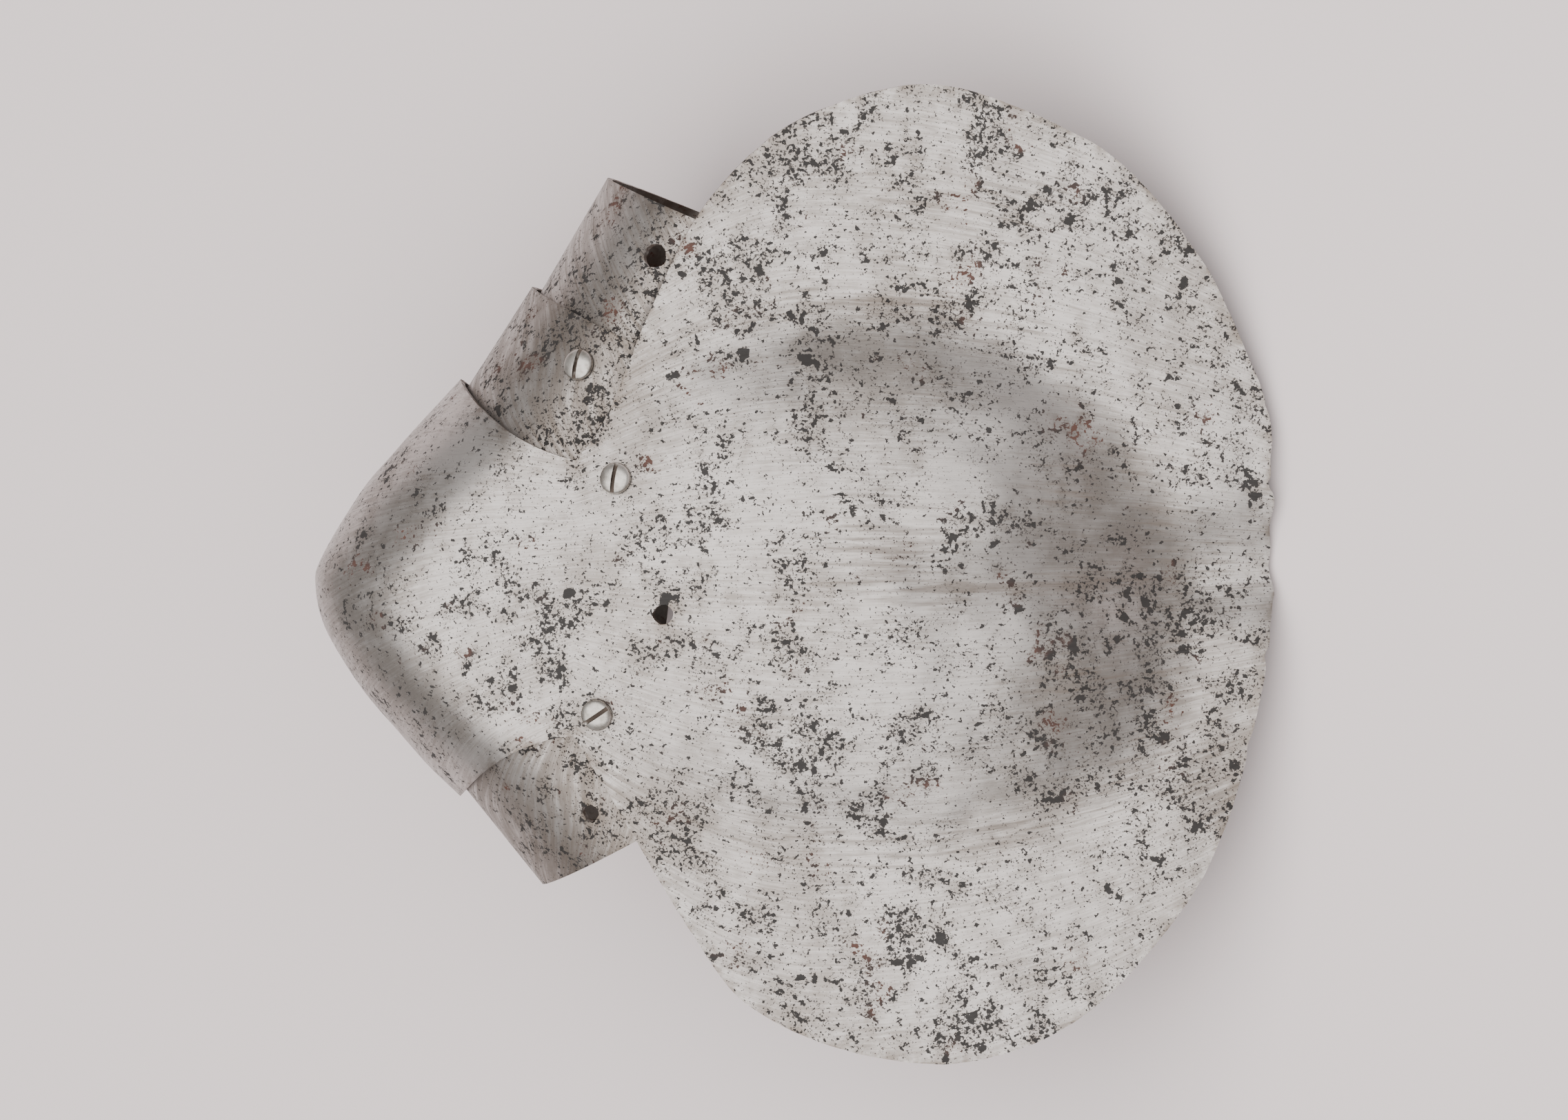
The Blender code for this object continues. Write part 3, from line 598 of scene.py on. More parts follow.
# Tarnished patches of each plate: (spot, reach, depth)
PATCHES = {
    "elbow_plate": [
        (PINS["upper"][0].spot, 0.0052, 0.75), (PINS["lower"][0].spot, 0.0070, 0.95),
        (outer_point(wing_height, PLATE_HOLE, 1)[0] + Vector((0.002, 0.004, 0.0)), 0.0045, 1.1)],
    "upper_lame_1": [
        (PINS["lames"][0].spot, 0.0075, 0.8), (face_spot(UPPER, UPPER.pivot), 0.014, 0.7),
        (face_spot(UPPER, Vector((-0.0055, 0.042))), 0.011, 0.75)],
    "upper_lame_2": [
        (face_spot(SECOND, SECOND_HOLE) + Vector((-0.002, -0.001, 0.0)), 0.0060, 1.1),
        (face_spot(SECOND, SECOND.pivot + SECOND.axis * 0.012), 0.011, 0.9),
        (face_spot(SECOND, Vector((0.0185, 0.0850))), 0.008, 0.65)],
    "lower_lame_1": [
        (face_spot(LOWER, LOWER_HOLE), 0.0050, 1.0), (face_spot(LOWER, LOWER.pivot), 0.014, 0.8)],
}


def a_count(name, description, default, least, most):
    """A setting that counts rows or points."""
    return IntProperty(name=name, description=description, default=default, min=least, max=most)


def a_length(name, description, default, least, most):
    """A setting in metres."""
    return FloatProperty(name=name, description=description, default=default, min=least, max=most,
                         precision=5, unit="LENGTH")


def a_share(name, description, default, most):
    """A setting from nothing up."""
    return FloatProperty(name=name, description=description, default=default, min=0.0, max=most)


def a_colour(name, description, *channels):
    """A setting for an opaque colour."""
    return FloatVectorProperty(name=name, description=description, subtype="COLOR", size=4,
                               min=0.0, max=1.0, default=(*channels, 1.0))


class PlateSizes(bpy.types.PropertyGroup):
    """Sizes and wear of the plates."""
    cup_rows: a_count("Cup rows", "Rows of faces up the cup", 100, 20, 160)
    rim_steps: a_count("Rim steps", "Points round the wing's rim", 420, 80, 640)
    wing_rings: a_count("Wing rings", "Rings of faces from the wing's middle to its rim", 50, 10, 80)
    lame_rows: a_count("Lame rows", "Rows of faces along each lame", 64, 12, 120)
    rim_wear: a_length("Rim wear", "How far the wing's rim wanders", 0.0002, 0.0, 0.001)
    dents: a_length("Dents", "Depth of the shallow dents", 0.00045, 0.0, 0.002)
    hole_ragged: a_share("Ragged holes", "How uneven the open holes are", 0.16, 0.5)


class SteelLook(bpy.types.PropertyGroup):
    """Colours of the steel and its age."""
    bright: a_colour("Bright steel", "Colour of the polished steel", 0.46, 0.43, 0.41)
    dull: a_colour("Dull steel", "Colour of the duller patches", 0.275, 0.247, 0.225)
    scratch: a_colour("Scratches", "Colour inside the brushing's scratches", 0.15, 0.135, 0.125)
    # This brown also paints shade where the film mask marks the valleys, the pinch and the smudges.
    stain_and_shade: a_colour("Brown stain", "Colour of the brown film in the hollows", 0.150, 0.120, 0.096)
    pit: a_colour("Pits", "Colour of the corroded pits", 0.017, 0.016, 0.016)
    rust: a_colour("Rust", "Colour of the rusty specks", 0.085, 0.036, 0.026)
    pitting: a_share("Pitting", "How much of the face is pitted", 0.5, 1.0)


class StageLook(bpy.types.PropertyGroup):
    """Floor and camera."""
    floor: a_colour("Floor", "Colour of the floor", 0.77, 0.69, 0.69)
    distance: a_length("Camera distance", "From the camera to the couter", 3.0, 0.5, 10.0)
    view_width: a_length("View width", "Width of the picture at the couter", 0.3668, 0.1, 1.0)


class Nodes:
    """A node tree, built node by node."""

    def __init__(self, tree):
        self.tree = tree

    def put(self, socket, value):
        """Link a socket or set its plain value."""
        if isinstance(value, bpy.types.NodeSocket):
            self.tree.links.new(value, socket)
        else:
            socket.default_value = value

    def node(self, kind, settings=None, **values):
        """A new node, its settings, and what feeds its inputs by name."""
        made = self.tree.nodes.new(kind)
        for key, value in (settings or {}).items():
            setattr(made, key, value)
        for label, value in values.items():
            self.put(made.inputs[label.replace("_", " ")], value)
        return made

    def math(self, operation, *values, kind="ShaderNodeMath"):
        """What an operation makes of its values."""
        made = self.node(kind, {"operation": operation})
        for socket, value in zip(made.inputs, values):
            self.put(socket, value)
        return made.outputs[0]

    def minus(self, one, other):
        """The difference of two numbers."""
        return self.math("SUBTRACT", one, other)

    def times(self, one, other):
        """The product of two numbers."""
        return self.math("MULTIPLY", one, other)

    def total(self, *terms):
        """The sum of terms, each a number or a pair of a number and its weight."""
        whole = None
        for term in terms:
            part = self.times(*term) if isinstance(term, tuple) else term
            whole = part if whole is None else self.math("ADD", whole, part)
        return whole


class Shade(Nodes):
    """A material's node tree."""

    def __init__(self, name):
        self.material = bpy.data.materials.new(name)
        self.material.use_nodes = True
        super().__init__(self.material.node_tree)
        self.surface = self.tree.nodes["Principled BSDF"]
        self.place = self.node("ShaderNodeTexCoord").outputs["Object"]

    def stretch(self, place, scale):
        """A place scaled along each axis."""
        return self.math("MULTIPLY", place, scale, kind="ShaderNodeVectorMath")

    def shift(self, place, way):
        """A place moved by a fixed way, so that patterns don't repeat each other."""
        return self.math("ADD", place, way, kind="ShaderNodeVectorMath")

    def grain(self, place, scale, detail=2.0, roughness=0.5, distortion=0.0):
        """A noise between 0 and 1."""
        return self.node("ShaderNodeTexNoise", Vector=place, Scale=scale, Detail=detail,
                         Roughness=roughness, Distortion=distortion).outputs["Fac"]

    def step(self, value, low, high):
        """0 below low, 1 above high and smooth between."""
        return self.node("ShaderNodeMapRange", {"interpolation_type": "SMOOTHSTEP"}, Value=value,
                         From_Min=low, From_Max=high).outputs["Result"]

    def blend(self, share, one, other):
        """A colour between two."""
        return self.node("ShaderNodeMix", {"data_type": "RGBA"}, Factor=share, A=one,
                         B=other).outputs["Result"]

    def mark(self, name):
        """A number stored on the mesh."""
        return self.node("ShaderNodeAttribute", {"attribute_name": name}).outputs["Fac"]

    def bump(self, height, depth, strength):
        """A bumped normal."""
        return self.node("ShaderNodeBump", Distance=depth, Strength=strength,
                         Height=height).outputs["Normal"]

    def finish(self, colour, metallic, roughness, normal):
        """Feed the surface."""
        for label, value in (("Base Color", colour), ("Metallic", metallic), ("Roughness", roughness),
                             ("Normal", normal)):
            self.put(self.surface.inputs[label], value)


def pit_masks(shade, pitting):
    """Specks, pits and blots in clusters, and how densely they lie."""
    place = shade.place
    cluster = shade.step(shade.grain(place, 110.0, 5.0, 0.66), 0.42, 0.60)
    field = shade.step(shade.grain(shade.shift(place, (0.7, 0.2, 0.4)), 27.0, 3.0, 0.6), 0.40, 0.64)
    marked = shade.total((shade.mark("pitted"), 0.72), (field, 0.42), 0.36)
    density = shade.times(marked, shade.total((cluster, 0.95), 0.22))
    density = shade.math("MAXIMUM", density, shade.mark("tarnish"))
    density = shade.math("MINIMUM", shade.times(density, PIT_DENSITY * pitting),
                         PIT_DENSITY_MOST)
    pits = None
    for shift, scale, detail, sparse, dense, soft, depth in PIT_LAYERS:
        grain = shade.grain(shade.shift(place, shift), scale, detail, 0.58)
        low = shade.minus(sparse, shade.times(density, sparse - dense))
        layer = shade.times(shade.step(grain, low, shade.total(low, soft)), depth)
        pits = layer if pits is None else shade.math("MAXIMUM", pits, layer)
    return pits, density


def pitted_steel(look):
    """Brushed old steel with corroded pits, brown film with painted shade in its hollows and a few rusty
    specks.
    """
    shade = Shade("worn_face")
    shade.surface.inputs["Specular IOR Level"].default_value = 0.2
    lay = shade.node("ShaderNodeUVMap", {"uv_map": "lay"}).outputs["UV"]
    fine = shade.grain(shade.stretch(lay, FINE_BRUSH), 1.0, 2.0, 0.6)
    strokes = shade.grain(shade.stretch(lay, STROKE_BRUSH), 1.0, 3.0, 0.62, 0.4)
    smear = shade.grain(shade.stretch(lay, SMEAR_BRUSH), 1.0, 4.0, 0.6, 0.3)
    cloud = shade.grain(shade.place, 24.0, 3.0, 0.6)
    mottle = shade.grain(shade.shift(shade.place, (0.4, 0.4, 0.9)), 240.0, 4.0, 0.65)
    pits, density = pit_masks(shade, look.pitting)

    dullness = shade.total((cloud, 0.55), (strokes, 0.40), (mottle, 0.30), (density, 0.10))
    colour = shade.blend(shade.step(dullness, 0.54, 0.80), look.bright, look.dull)
    scratch = shade.times(shade.step(fine, 0.58, 0.70), 0.36)
    colour = shade.blend(scratch, colour, look.scratch)
    # The film mask darkens the valleys, the pinch and the smudges: brown film with painted shade.
    film_and_shade = shade.total((shade.mark("hollow"), 0.42), smear)
    film_and_shade = shade.times(shade.step(film_and_shade, 0.58, 0.92), 0.62)
    colour = shade.blend(film_and_shade, colour, look.stain_and_shade)
    edge = shade.times(shade.mark("rim"), shade.step(mottle, 0.35, 0.65))
    colour = shade.blend(shade.times(edge, 0.8), colour, look.stain_and_shade)
    rusty = shade.step(shade.grain(shade.place, 75.0, 3.0), 0.58, 0.72)
    colour = shade.blend(shade.times(pits, 0.94), colour, shade.blend(rusty, look.pit, look.rust))

    metallic = shade.minus(1.0, shade.times(pits, 0.85))
    roughness = shade.total(0.27, (strokes, 0.16), (film_and_shade, 0.25), (pits, 0.3))
    height = shade.total((fine, 0.16), (strokes, 0.25), (pits, -0.9), (mottle, -0.25))
    shade.finish(colour, metallic, roughness, shade.bump(height, 0.00010, 0.9))


def inner_steel(look):
    """The plates' hidden side: dark, brown and dull."""
    shade = Shade("hidden_face")
    cloud = shade.grain(shade.place, 70.0, 5.0, 0.65)
    speck = shade.grain(shade.place, 700.0, 4.0, 0.7)
    brown = (0.085, 0.062, 0.048, 1.0)
    grey = (0.20, 0.18, 0.165, 1.0)
    colour = shade.blend(shade.step(cloud, 0.38, 0.66), brown, grey)
    colour = shade.blend(shade.step(speck, 0.60, 0.66), colour, look.rust)
    height = shade.total(cloud, (speck, 0.5))
    shade.finish(colour, 0.6, shade.total(0.5, (speck, 0.3)), shade.bump(height, 0.0002, 0.8))


def raw_edge():
    """The plates' cut edges: dark brown with bright worn spots."""
    shade = Shade("raw_edge")
    cloud = shade.grain(shade.place, 160.0, 4.0, 0.65)
    brown = (0.12, 0.092, 0.075, 1.0)
    worn = (0.36, 0.335, 0.32, 1.0)
    colour = shade.blend(shade.step(cloud, 0.45, 0.62), brown, worn)
    roughness = shade.minus(0.75, shade.times(cloud, 0.35))
    shade.finish(colour, 0.8, roughness, shade.bump(cloud, 0.00015, 0.7))


def pin_steel(name, bright, dull):
    """Newer turned steel of a screw or rivet, with dirt where the mesh marks it."""
    shade = Shade(name)
    brown = (0.075, 0.055, 0.042, 1.0)
    cloud = shade.grain(shade.place, 420.0, 4.0, 0.6)
    lines = shade.grain(shade.stretch(shade.place, (2600.0, 300.0, 900.0)), 1.0, 2.0, 0.6)
    colour = shade.blend(shade.step(cloud, 0.4, 0.7), bright, dull)
    dirt = shade.times(shade.mark("dirt"), shade.step(cloud, 0.2, 0.5))
    roughness = shade.total(0.24, (cloud, 0.2), (dirt, 0.4))
    metallic = shade.minus(1.0, shade.times(dirt, 0.7))
    shade.finish(shade.blend(dirt, colour, brown), metallic, roughness, shade.bump(lines, 0.00004, 0.6))
    return shade.material


def pale_floor(colour):
    """Matte pale paper with a barely visible tooth."""
    shade = Shade("pale_paper")
    tooth = shade.grain(shade.place, 900.0, 3.0, 0.6)
    cloud = shade.grain(shade.place, 3.0, 2.0)
    darker = tuple(channel * 0.965 for channel in colour[:3]) + (1.0,)
    shade.finish(shade.blend(cloud, colour, darker), 0.0, 0.9, shade.bump(tooth, 0.0001, 0.35))
    return shade.material


def steels():
    """The plates' three materials, made once."""
    names = ("worn_face", "hidden_face", "raw_edge")
    if names[0] not in bpy.data.materials:
        pitted_steel(bpy.context.scene.couter_steel)
        inner_steel(bpy.context.scene.couter_steel)
        raw_edge()
    return [bpy.data.materials[name] for name in names]


def add_object(name, data):
    """A new object in the scene."""
    thing = bpy.data.objects.new(name, data)
    bpy.context.scene.collection.objects.link(thing)
    return thing


def settle(thing, sharp_deg):
    """Turn an object's modifiers into a plain mesh, smooth but for its sharp edges."""
    graph = bpy.context.evaluated_depsgraph_get()
    mesh = bpy.data.meshes.new_from_object(thing.evaluated_get(graph))
    thing.modifiers.clear()
    thing.data = mesh
    mesh.name = thing.name
    mesh.shade_smooth()
    mesh.set_sharp_from_angle(angle=math.radians(sharp_deg))


def rim_film(mesh):
    """How brown each point is for lying near an open edge."""
    uses = np.zeros(len(mesh.edges), int)
    np.add.at(uses, [loop.edge_index for loop in mesh.loops], 1)
    border = {v for edge, used in zip(mesh.edges, uses) if used == 1 for v in edge.vertices}
    tree = kdtree.KDTree(len(border))
    for i in border:
        tree.insert(mesh.vertices[i].co, i)
    tree.balance()
    return [math.exp(-tree.find(vert.co)[2] / RIM_FILM_REACH) for vert in mesh.vertices]


def dent(mesh, still):
    """Push a face in and out in shallow waves that leave the pins' places alone."""
    depth = bpy.context.scene.couter_sizes.dents
    ways = [vert.normal.copy() for vert in mesh.vertices]
    for vert, way in zip(mesh.vertices, ways):
        calm = min([1.0] + [(vert.co - spot).length / PIN_CALM_REACH for spot in still])
        share = min(max((vert.co.x - WING_DENT_START) / WING_DENT_GROWTH, CUP_DENT_SHARE), 1.0)
        vert.co += way * depth * waves(vert.co, *DENT_WAVES) * calm ** 2 * share


def make_plate(name, sheet, wall, marks, still):
    """A walled plate from its outer face, dented, marked with its age and laid in the row's frame."""
    used = sorted({i for face in sheet.faces for i in face})
    place_of = {old: new for new, old in enumerate(used)}
    spots = [sheet.spots[i] for i in used]
    mesh = bpy.data.meshes.new(name)
    mesh.from_pydata(spots, [], [[place_of[i] for i in face] for face in sheet.faces])
    rim = rim_film(mesh)
    dent(mesh, still)
    for key, values in {"rim": rim, **marks(np.array(spots))}.items():
        mark = mesh.attributes.new(key, "FLOAT", "POINT")
        mark.data.foreach_set("value", np.asarray(values, np.float32))
    coordinates = mesh.uv_layers.new(name="lay")
    loops = np.array([sheet.lay[used[loop.vertex_index]] for loop in mesh.loops], np.float32)
    coordinates.data.foreach_set("uv", loops.ravel())
    mesh.transform(REST)
    thing = add_object(name, mesh)
    for material in steels():
        mesh.materials.append(material)
    solid = thing.modifiers.new("wall", "SOLIDIFY")
    solid.thickness = wall
    solid.offset = -1.0
    solid.use_even_offset = False
    solid.material_offset = 1
    solid.material_offset_rim = 2
    settle(thing, 45)
    return thing


def fading(spots, patches):
    """How deep the deepest of some round patches is at each point."""
    depth = np.zeros(len(spots))
    for centre, reach, most in patches:
        far = np.linalg.norm(spots - np.array(centre), axis=1) / reach
        depth = np.maximum(depth, most * np.exp(-far ** 2))
    return depth


def pitted(spots):
    """How heavily each point of the elbow plate is pitted, evenly on its hidden side."""
    depth = np.zeros(len(spots))
    for x, y, reach, most in WING_PITS + CUP_PITS:
        far = np.hypot(spots[:, 0] - x / 1000, spots[:, 1] - y / 1000) / (reach / 1000)
        depth = np.maximum(depth, most * np.exp(-far ** 2))
    return np.where(spots[:, 2] > 0, depth, EVEN_PITTING)


def elbow_marks(spots):
    """Brown film with painted shade along the valleys, painted shade along the pinch, both in the smudges,
    tarnish in patches, and pitting.
    """
    boss, flange, pinch = relief(spots[:, 0], spots[:, 1])
    # Darkening along the valleys is brown film with painted shade, along the pinch painted shade; the
    # smudges below add both in patches.
    valley = np.exp(-((boss - flange + VALLEY_SHIFT) / VALLEY_SPREAD) ** 2)
    hollow = np.where(spots[:, 0] > 0, np.maximum(valley * VALLEY_FILM_AND_SHADE, pinch * PINCH_SHADE), 0)
    for x, y, along, across, depth in SMUDGES_AND_SHADE:
        far = np.hypot((spots[:, 0] - x / 1000) / along, (spots[:, 1] - y / 1000) / across) * 1000
        hollow = np.maximum(hollow, np.where(spots[:, 2] > 0, depth * np.exp(-far ** 2), 0))
    return {"hollow": hollow, "tarnish": fading(spots, PATCHES["elbow_plate"]), "pitted": pitted(spots)}


def lame_marks(film_and_shade, patches):
    """An even brown film over a lame, even pitting and tarnish in its own patches."""
    # On a lame the film-and-shade mark is only an even brown film.
    def marks(spots):
        return {"hollow": np.full(len(spots), film_and_shade), "tarnish": fading(spots, patches),
                "pitted": np.full(len(spots), EVEN_PITTING)}
    return marks


class COUTER_OT_elbow_plate(bpy.types.Operator):
    """Make the elbow plate: its cup, its pinched wing and their holes"""
    bl_idname = "couter.elbow_plate"
    bl_label = "Elbow plate"

    def execute(self, context):
        """Build the plate and let it stand for its solid."""
        sizes = context.scene.couter_sizes
        sheet = elbow_sheet(sizes)
        through = PINS["upper"] + PINS["lower"]
        for pin in through:
            sheet.punch(pin.spot, pin.way, PIN_HOLE_RADIUS, 0.0, 0)
        spot, way = outer_point(wing_height, PLATE_HOLE, 1)
        sheet.punch(spot, way, PLATE_HOLE_RADIUS, sizes.hole_ragged, 3)
        still = [pin.spot for pin in through]
        plate = make_plate("worn_elbow_plate", sheet, PLATE_WALL, elbow_marks, still)
        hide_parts("elbow_plate")
        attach(plate, "elbow")
        return {"FINISHED"}


class COUTER_OT_lames(bpy.types.Operator):
    """Make the three lames under the elbow plate's edges"""
    bl_idname = "couter.lames"
    bl_label = "Lames"

    def execute(self, context):
        """Build each lame and let it stand for its solid."""
        sizes = context.scene.couter_sizes
        for lame, node, body, own_pins, under_pins, hole, radius, film_and_shade in (
                (UPPER, "upper_lame_1", "first_upper_lame", "lames", "upper", None, 0.0, 0.60),
                (SECOND, "upper_lame_2", "second_upper_lame", None, "lames",
                 SECOND_HOLE, SECOND_HOLE_RADIUS, 0.50),
                (LOWER, "lower_lame_1", "lower_lame", None, "lower",
                 LOWER_HOLE, LOWER_HOLE_RADIUS, 0.72)):
            sheet = lame.sheet(sizes.lame_rows)
            still = []
            for pin in PINS[under_pins]:
                sheet.punch(pin.seat, pin.way, SEAT_HOLE_RADIUS, 0.0, 0)
                still.append(pin.seat)
            for pin in PINS.get(own_pins, ()):
                sheet.punch(pin.spot, pin.way, PIN_HOLE_RADIUS, 0.0, 0)
                still.append(pin.spot)
            if hole:
                sheet.punch(*outer_point(lame.height, hole, 1), radius, sizes.hole_ragged, 5)
            marks = lame_marks(film_and_shade, PATCHES[node])
            plate = make_plate("worn_" + node, sheet, LAME_WALL, marks, still)
            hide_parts(node)
            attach(plate, body)
        return {"FINISHED"}


class Growth(Nodes):
    """A Geometry Nodes tree with a number for each of its sizes and a material."""

    def __init__(self, name, sizes):
        super().__init__(bpy.data.node_groups.new(name, "GeometryNodeTree"))
        self.keys = {}
        self.socket("Geometry", "Geometry")
        for label, value in sizes.items():
            self.socket(label, "Float").default_value = value
        self.socket("Material", "Material")
        self.tree.interface.new_socket("Geometry", in_out="OUTPUT", socket_type="NodeSocketGeometry")
        self.given = self.tree.nodes.new("NodeGroupInput").outputs
        self.end = self.tree.nodes.new("NodeGroupOutput").inputs[0]

    def socket(self, label, kind):
        """A new input of the whole tree."""
        made = self.tree.interface.new_socket(label, in_out="INPUT", socket_type="NodeSocket" + kind)
        self.keys[label] = made.identifier
        return made

    def grow(self, kind, settings=None, **values):
        """The first output of a new Geometry Nodes node."""
        return self.node("GeometryNode" + kind, settings, **values).outputs[0]

    def spot(self, **parts):
        """A vector from its parts."""
        return self.node("ShaderNodeCombineXYZ", **parts).outputs[0]

    def lift(self, mesh, height):
        """A mesh moved up by a height."""
        return self.grow("Transform", Geometry=mesh, Translation=self.spot(Z=height))


def turned_head(tree):
    """A round or flat head before its slot is sawn: rings from the underside up to the middle."""
    given = tree.given
    steps = 28
    index = tree.grow("InputIndex")
    share = tree.math("MAXIMUM", tree.math("DIVIDE", tree.minus(index, 3.0), steps - 4.0), 0.0)
    turn = tree.times(share, math.pi / 2)
    outline = tree.total((tree.math("COSINE", turn), given["Roundness"]),
                         (tree.minus(1.0, share), tree.minus(1.0, given["Roundness"])))
    dome = tree.times(tree.minus(given["Head height"], given["Head rim"]),
                      tree.times(tree.math("SINE", turn), given["Roundness"]))
    under = tree.math("LESS_THAN", index, 1.5)
    centre = tree.math("LESS_THAN", index, 0.5)
    height = tree.minus(tree.total(given["Head rim"], dome, given["Seat gap"]),
                        tree.times(under, given["Head rim"]))
    radius = tree.times(given["Head radius"], outline)
    radius = tree.times(radius, tree.minus(1.0, tree.times(centre, 0.999)))
    line = tree.grow("MeshToCurve", Mesh=tree.grow("MeshLine", Count=steps))
    placed = tree.grow("SetPosition", Geometry=line, Position=tree.spot(Z=height))
    placed = tree.grow("SetCurveRadius", Curve=placed, Radius=radius)
    ring = tree.grow("CurvePrimitiveCircle", Resolution=40, Radius=1.0)
    head = tree.node("GeometryNodeCurveToMesh", Curve=placed, Profile_Curve=ring, Fill_Caps=True)
    if "Scale" in head.inputs:
        tree.put(head.inputs["Scale"], tree.grow("InputRadius"))
    return head.outputs[0]


def turned_pin_tree():
    """A tree that turns a pin with a sawn head, a shank and a burr on each point."""
    tree = Growth("turned_pin", {
        "Head radius": 0.0037, "Head height": 0.0019, "Head rim": 0.0004, "Roundness": 1.0,
        "Slot width": 0.0010, "Slot depth": 0.0010, "Shank radius": 0.0016, "Burr radius": 0.0030,
        "Burr height": 0.0010, "Grip": 0.0050, "Seat gap": SEAT_GAP})
    given = tree.given
    saw_size = tree.spot(X=tree.times(given["Head radius"], 3.0), Y=given["Slot width"],
                         Z=tree.times(given["Slot depth"], 2.0))
    saw = tree.grow("MeshCube", Size=saw_size)
    saw = tree.lift(saw, tree.total(given["Head height"], given["Seat gap"]))
    saw = tree.grow("StoreNamedAttribute", {"data_type": "FLOAT", "domain": "FACE"}, Geometry=saw,
                    Name="dirt", Value=1.0)
    sawn = tree.node("GeometryNodeMeshBoolean", {"operation": "DIFFERENCE", "solver": "EXACT"})
    tree.put(sawn.inputs[0], turned_head(tree))
    tree.put(sawn.inputs[1], saw)
    above = tree.times(given["Seat gap"], 1.5)
    shank = tree.grow("MeshCylinder", Vertices=32, Radius=given["Shank radius"],
                      Depth=tree.total(given["Grip"], above))
    shank = tree.lift(shank, tree.math("DIVIDE", tree.minus(above, given["Grip"]), 2.0))
    burr = tree.grow("MeshCylinder", Vertices=32, Radius=given["Burr radius"], Depth=given["Burr height"])
    burr_drop = tree.total(given["Grip"], tree.math("DIVIDE", given["Burr height"], 2.0))
    burr = tree.lift(burr, tree.times(burr_drop, -1.0))
    whole = tree.node("GeometryNodeJoinGeometry")
    for part in (burr, shank, sawn.outputs[0]):
        tree.put(whole.inputs[0], part)
    points = tree.grow("MeshToPoints", Mesh=given["Geometry"])
    turn = tree.grow("InputNamedAttribute", {"data_type": "QUATERNION"}, Name="turn")
    each = tree.grow("InstanceOnPoints", Points=points, Instance=whole.outputs[0], Rotation=turn)
    real = tree.grow("RealizeInstances", Geometry=each)
    tree.put(tree.end, tree.grow("SetMaterial", Geometry=real, Material=given["Material"]))
    return tree


def grow_pins(name, chosen, tree, material, values):
    """Turn pins of one kind at their places and return them as one plain mesh object."""
    mesh = bpy.data.meshes.new(name)
    mesh.from_pydata([REST @ pin.spot for pin in chosen], [], [])
    turn = mesh.attributes.new("turn", "QUATERNION", "POINT")
    for index, pin in enumerate(chosen):
        upright = Vector((0.0, 0.0, 1.0)).rotation_difference(pin.way)
        spin = Matrix.Rotation(pin.slot, 3, "Z").to_quaternion()
        turn.data[index].value = REST.to_quaternion() @ upright @ spin
    thing = add_object(name, mesh)
    grown = thing.modifiers.new("pins", "NODES")
    grown.node_group = tree.tree
    grip = sum(pin.grip for pin in chosen) / len(chosen)
    for label, value in {"Material": material, "Grip": grip, **values}.items():
        grown[tree.keys[label]] = value
    settle(thing, 38)
    return thing


class COUTER_OT_pins(bpy.types.Operator):
    """Turn the slotted screws and the hidden rivets"""
    bl_idname = "couter.pins"
    bl_label = "Screws and rivets"

    def execute(self, context):
        """Grow the pins of each body and let them stand for their solids."""
        tree = turned_pin_tree()
        screw = pin_steel("screw_face", *SCREW_COLOURS)
        rivet = pin_steel("rivet_face", *RIVET_COLOURS)
        for name, chosen, nodes, body, slot, material, values in (
                ("pivot_screws", [PINS["upper"][0], PINS["lower"][0]],
                 ("pivot_screw_upper", "pivot_screw_lower"), "elbow", "screw_steel", screw, {}),
                ("lame_screw", [PINS["lames"][0]], ("lame_screw_upper",), "first_upper_lame",
                 "screw_steel", screw, {}),
                ("hidden_rivets", [PINS["upper"][1], PINS["lower"][1]],
                 ("inner_rivet_upper", "inner_rivet_lower"), "elbow", "rivet_steel", rivet, FLAT_HEAD),
                ("hidden_lame_rivet", [PINS["lames"][1]], ("inner_rivet_lames",), "first_upper_lame",
                 "rivet_steel", rivet, FLAT_HEAD)):
            made = grow_pins(name, chosen, tree, material, values)
            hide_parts(*nodes)
            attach(made, body)
        return {"FINISHED"}


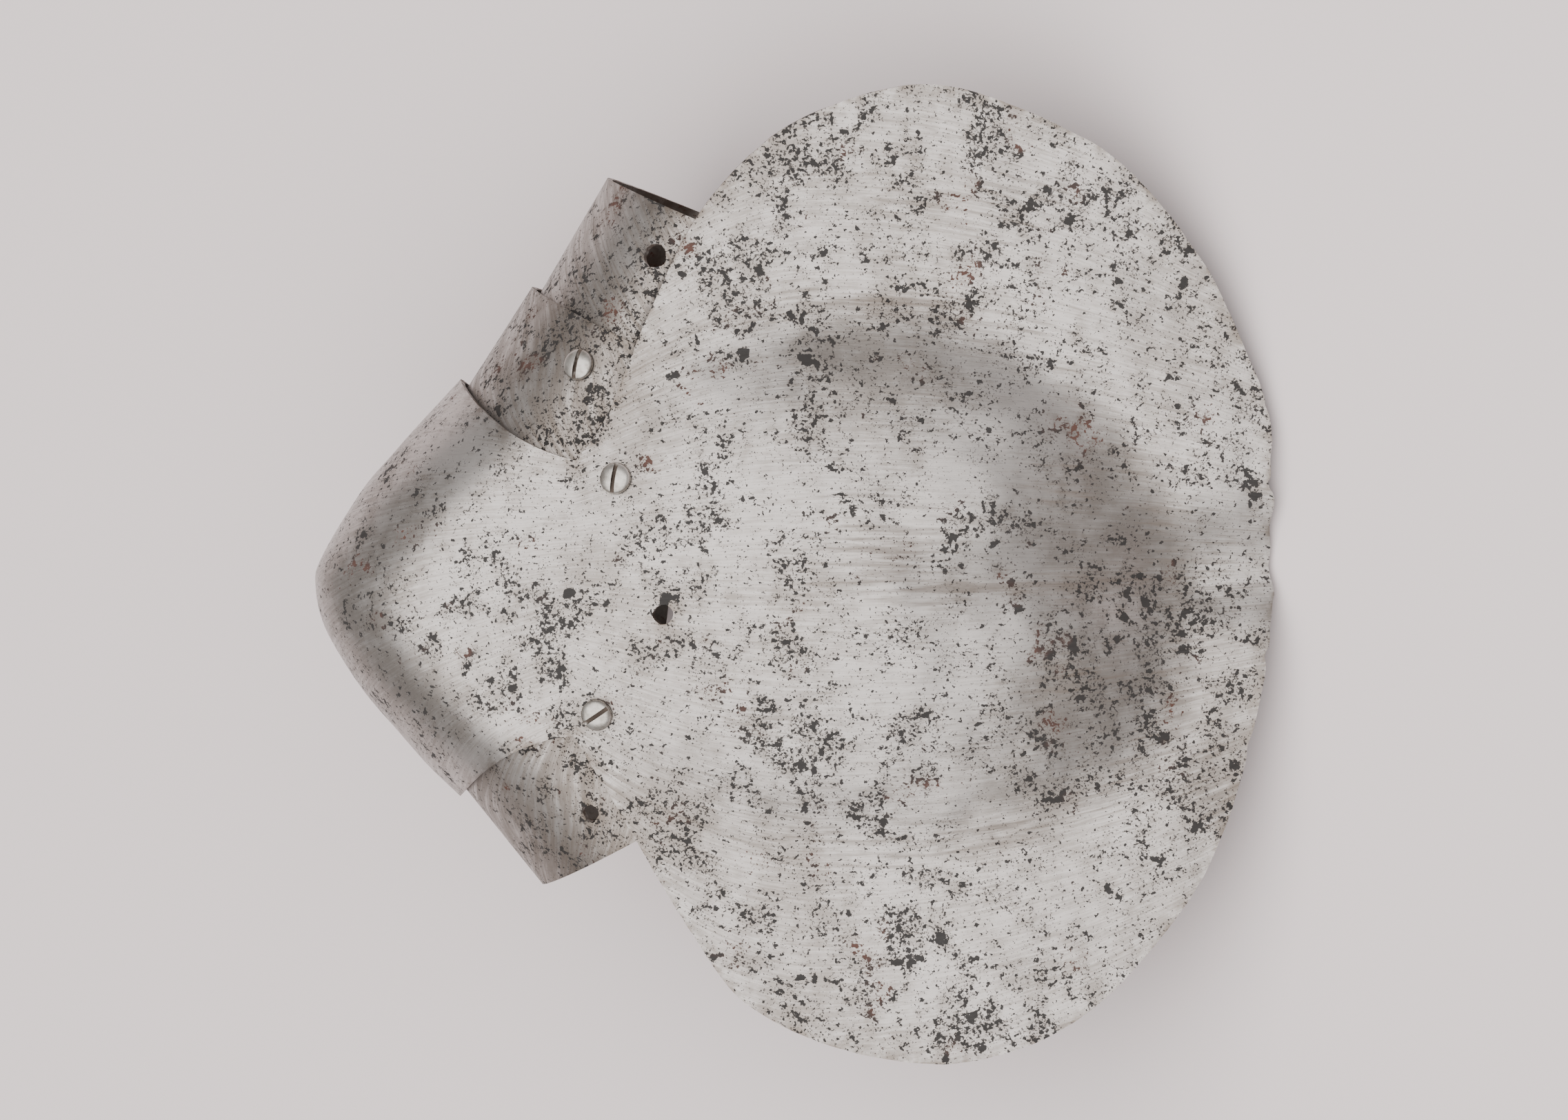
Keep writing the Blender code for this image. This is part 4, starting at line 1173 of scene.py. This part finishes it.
class COUTER_OT_stage(bpy.types.Operator):
    """Set the pale floor, the soft light and the camera"""
    bl_idname = "couter.stage"
    bl_label = "Stage"

    def execute(self, context):
        """Lay the floor, hang the light and aim the camera."""
        look = context.scene.couter_stage
        mesh = bpy.data.meshes.new("floor")
        corners = [(-1, -1), (1, -1), (1, 1), (-1, 1)]
        mesh.from_pydata([(x * FLOOR_HALF, y * FLOOR_HALF, 0) for x, y in corners], [], [(0, 1, 2, 3)])
        mesh.materials.append(pale_floor(look.floor))
        add_object("floor", mesh)

        world = bpy.data.worlds.new("studio")
        world.use_nodes = True
        sky = world.node_tree.nodes["Background"].inputs
        sky["Color"].default_value = SKY_COLOUR
        sky["Strength"].default_value = SKY_STRENGTH
        context.scene.world = world

        lamp = bpy.data.lights.new("overhead", "AREA")
        lamp.shape = "RECTANGLE"
        lamp.size, lamp.size_y = LIGHT_SIZE
        lamp.energy = LIGHT_POWER
        lamp.color = LIGHT_COLOUR
        light = add_object("overhead", lamp)
        light.location = LIGHT_AT
        light.rotation_euler = (LIGHT_AIM - LIGHT_AT).to_track_quat("-Z", "Y").to_euler()

        lens = bpy.data.cameras.new("camera")
        lens.sensor_width = SENSOR_WIDTH
        lens.lens = SENSOR_WIDTH * look.distance / look.view_width
        lens.clip_end = SIGHT_END
        camera = add_object("camera", lens)
        tilt = math.radians(CAMERA_TILT_DEG)
        right = Vector((1.0, 0.0, 0.0))
        up = Vector((0.0, math.cos(tilt), -math.sin(tilt)))
        back = Vector((0.0, math.sin(tilt), math.cos(tilt)))
        turn = REST.to_3x3() @ Matrix((right, up, back)).transposed()
        place = REST @ CAMERA_AIM + turn @ Vector((0, 0, look.distance))
        camera.matrix_world = Matrix.Translation(place) @ turn.to_4x4()
        context.scene.camera = camera
        return {"FINISHED"}


class COUTER_PT_dress(bpy.types.Panel):
    """The couter's pieces, one button each"""
    bl_idname = "COUTER_PT_dress"
    bl_label = "Elbow couter"
    bl_space_type = "VIEW_3D"
    bl_region_type = "UI"
    bl_category = "Couter"

    def draw(self, context):
        """List the settings and the pieces."""
        for group in (context.scene.couter_sizes, context.scene.couter_steel, context.scene.couter_stage):
            column = self.layout.column(align=True)
            for key in group.__annotations__:
                column.prop(group, key)
        for operator in OPERATORS:
            self.layout.operator(operator.bl_idname)


OPERATORS = (COUTER_OT_elbow_plate, COUTER_OT_lames, COUTER_OT_pins, COUTER_OT_stage)
GROUPS = {"couter_sizes": PlateSizes, "couter_steel": SteelLook, "couter_stage": StageLook}


def register():
    """Register the settings, the operators and the panel."""
    for key, group in GROUPS.items():
        bpy.utils.register_class(group)
        setattr(bpy.types.Scene, key, PointerProperty(type=group))
    for operator in OPERATORS:
        bpy.utils.register_class(operator)
    bpy.utils.register_class(COUTER_PT_dress)


def unregister():
    """Take them all away again."""
    bpy.utils.unregister_class(COUTER_PT_dress)
    for operator in OPERATORS:
        bpy.utils.unregister_class(operator)
    for key, group in GROUPS.items():
        delattr(bpy.types.Scene, key)
        bpy.utils.unregister_class(group)


def main():
    """Dress the couter."""
    register()
    bpy.ops.couter.elbow_plate()
    bpy.ops.couter.lames()
    bpy.ops.couter.pins()
    bpy.ops.couter.stage()


if __name__ == "__main__":
    main()
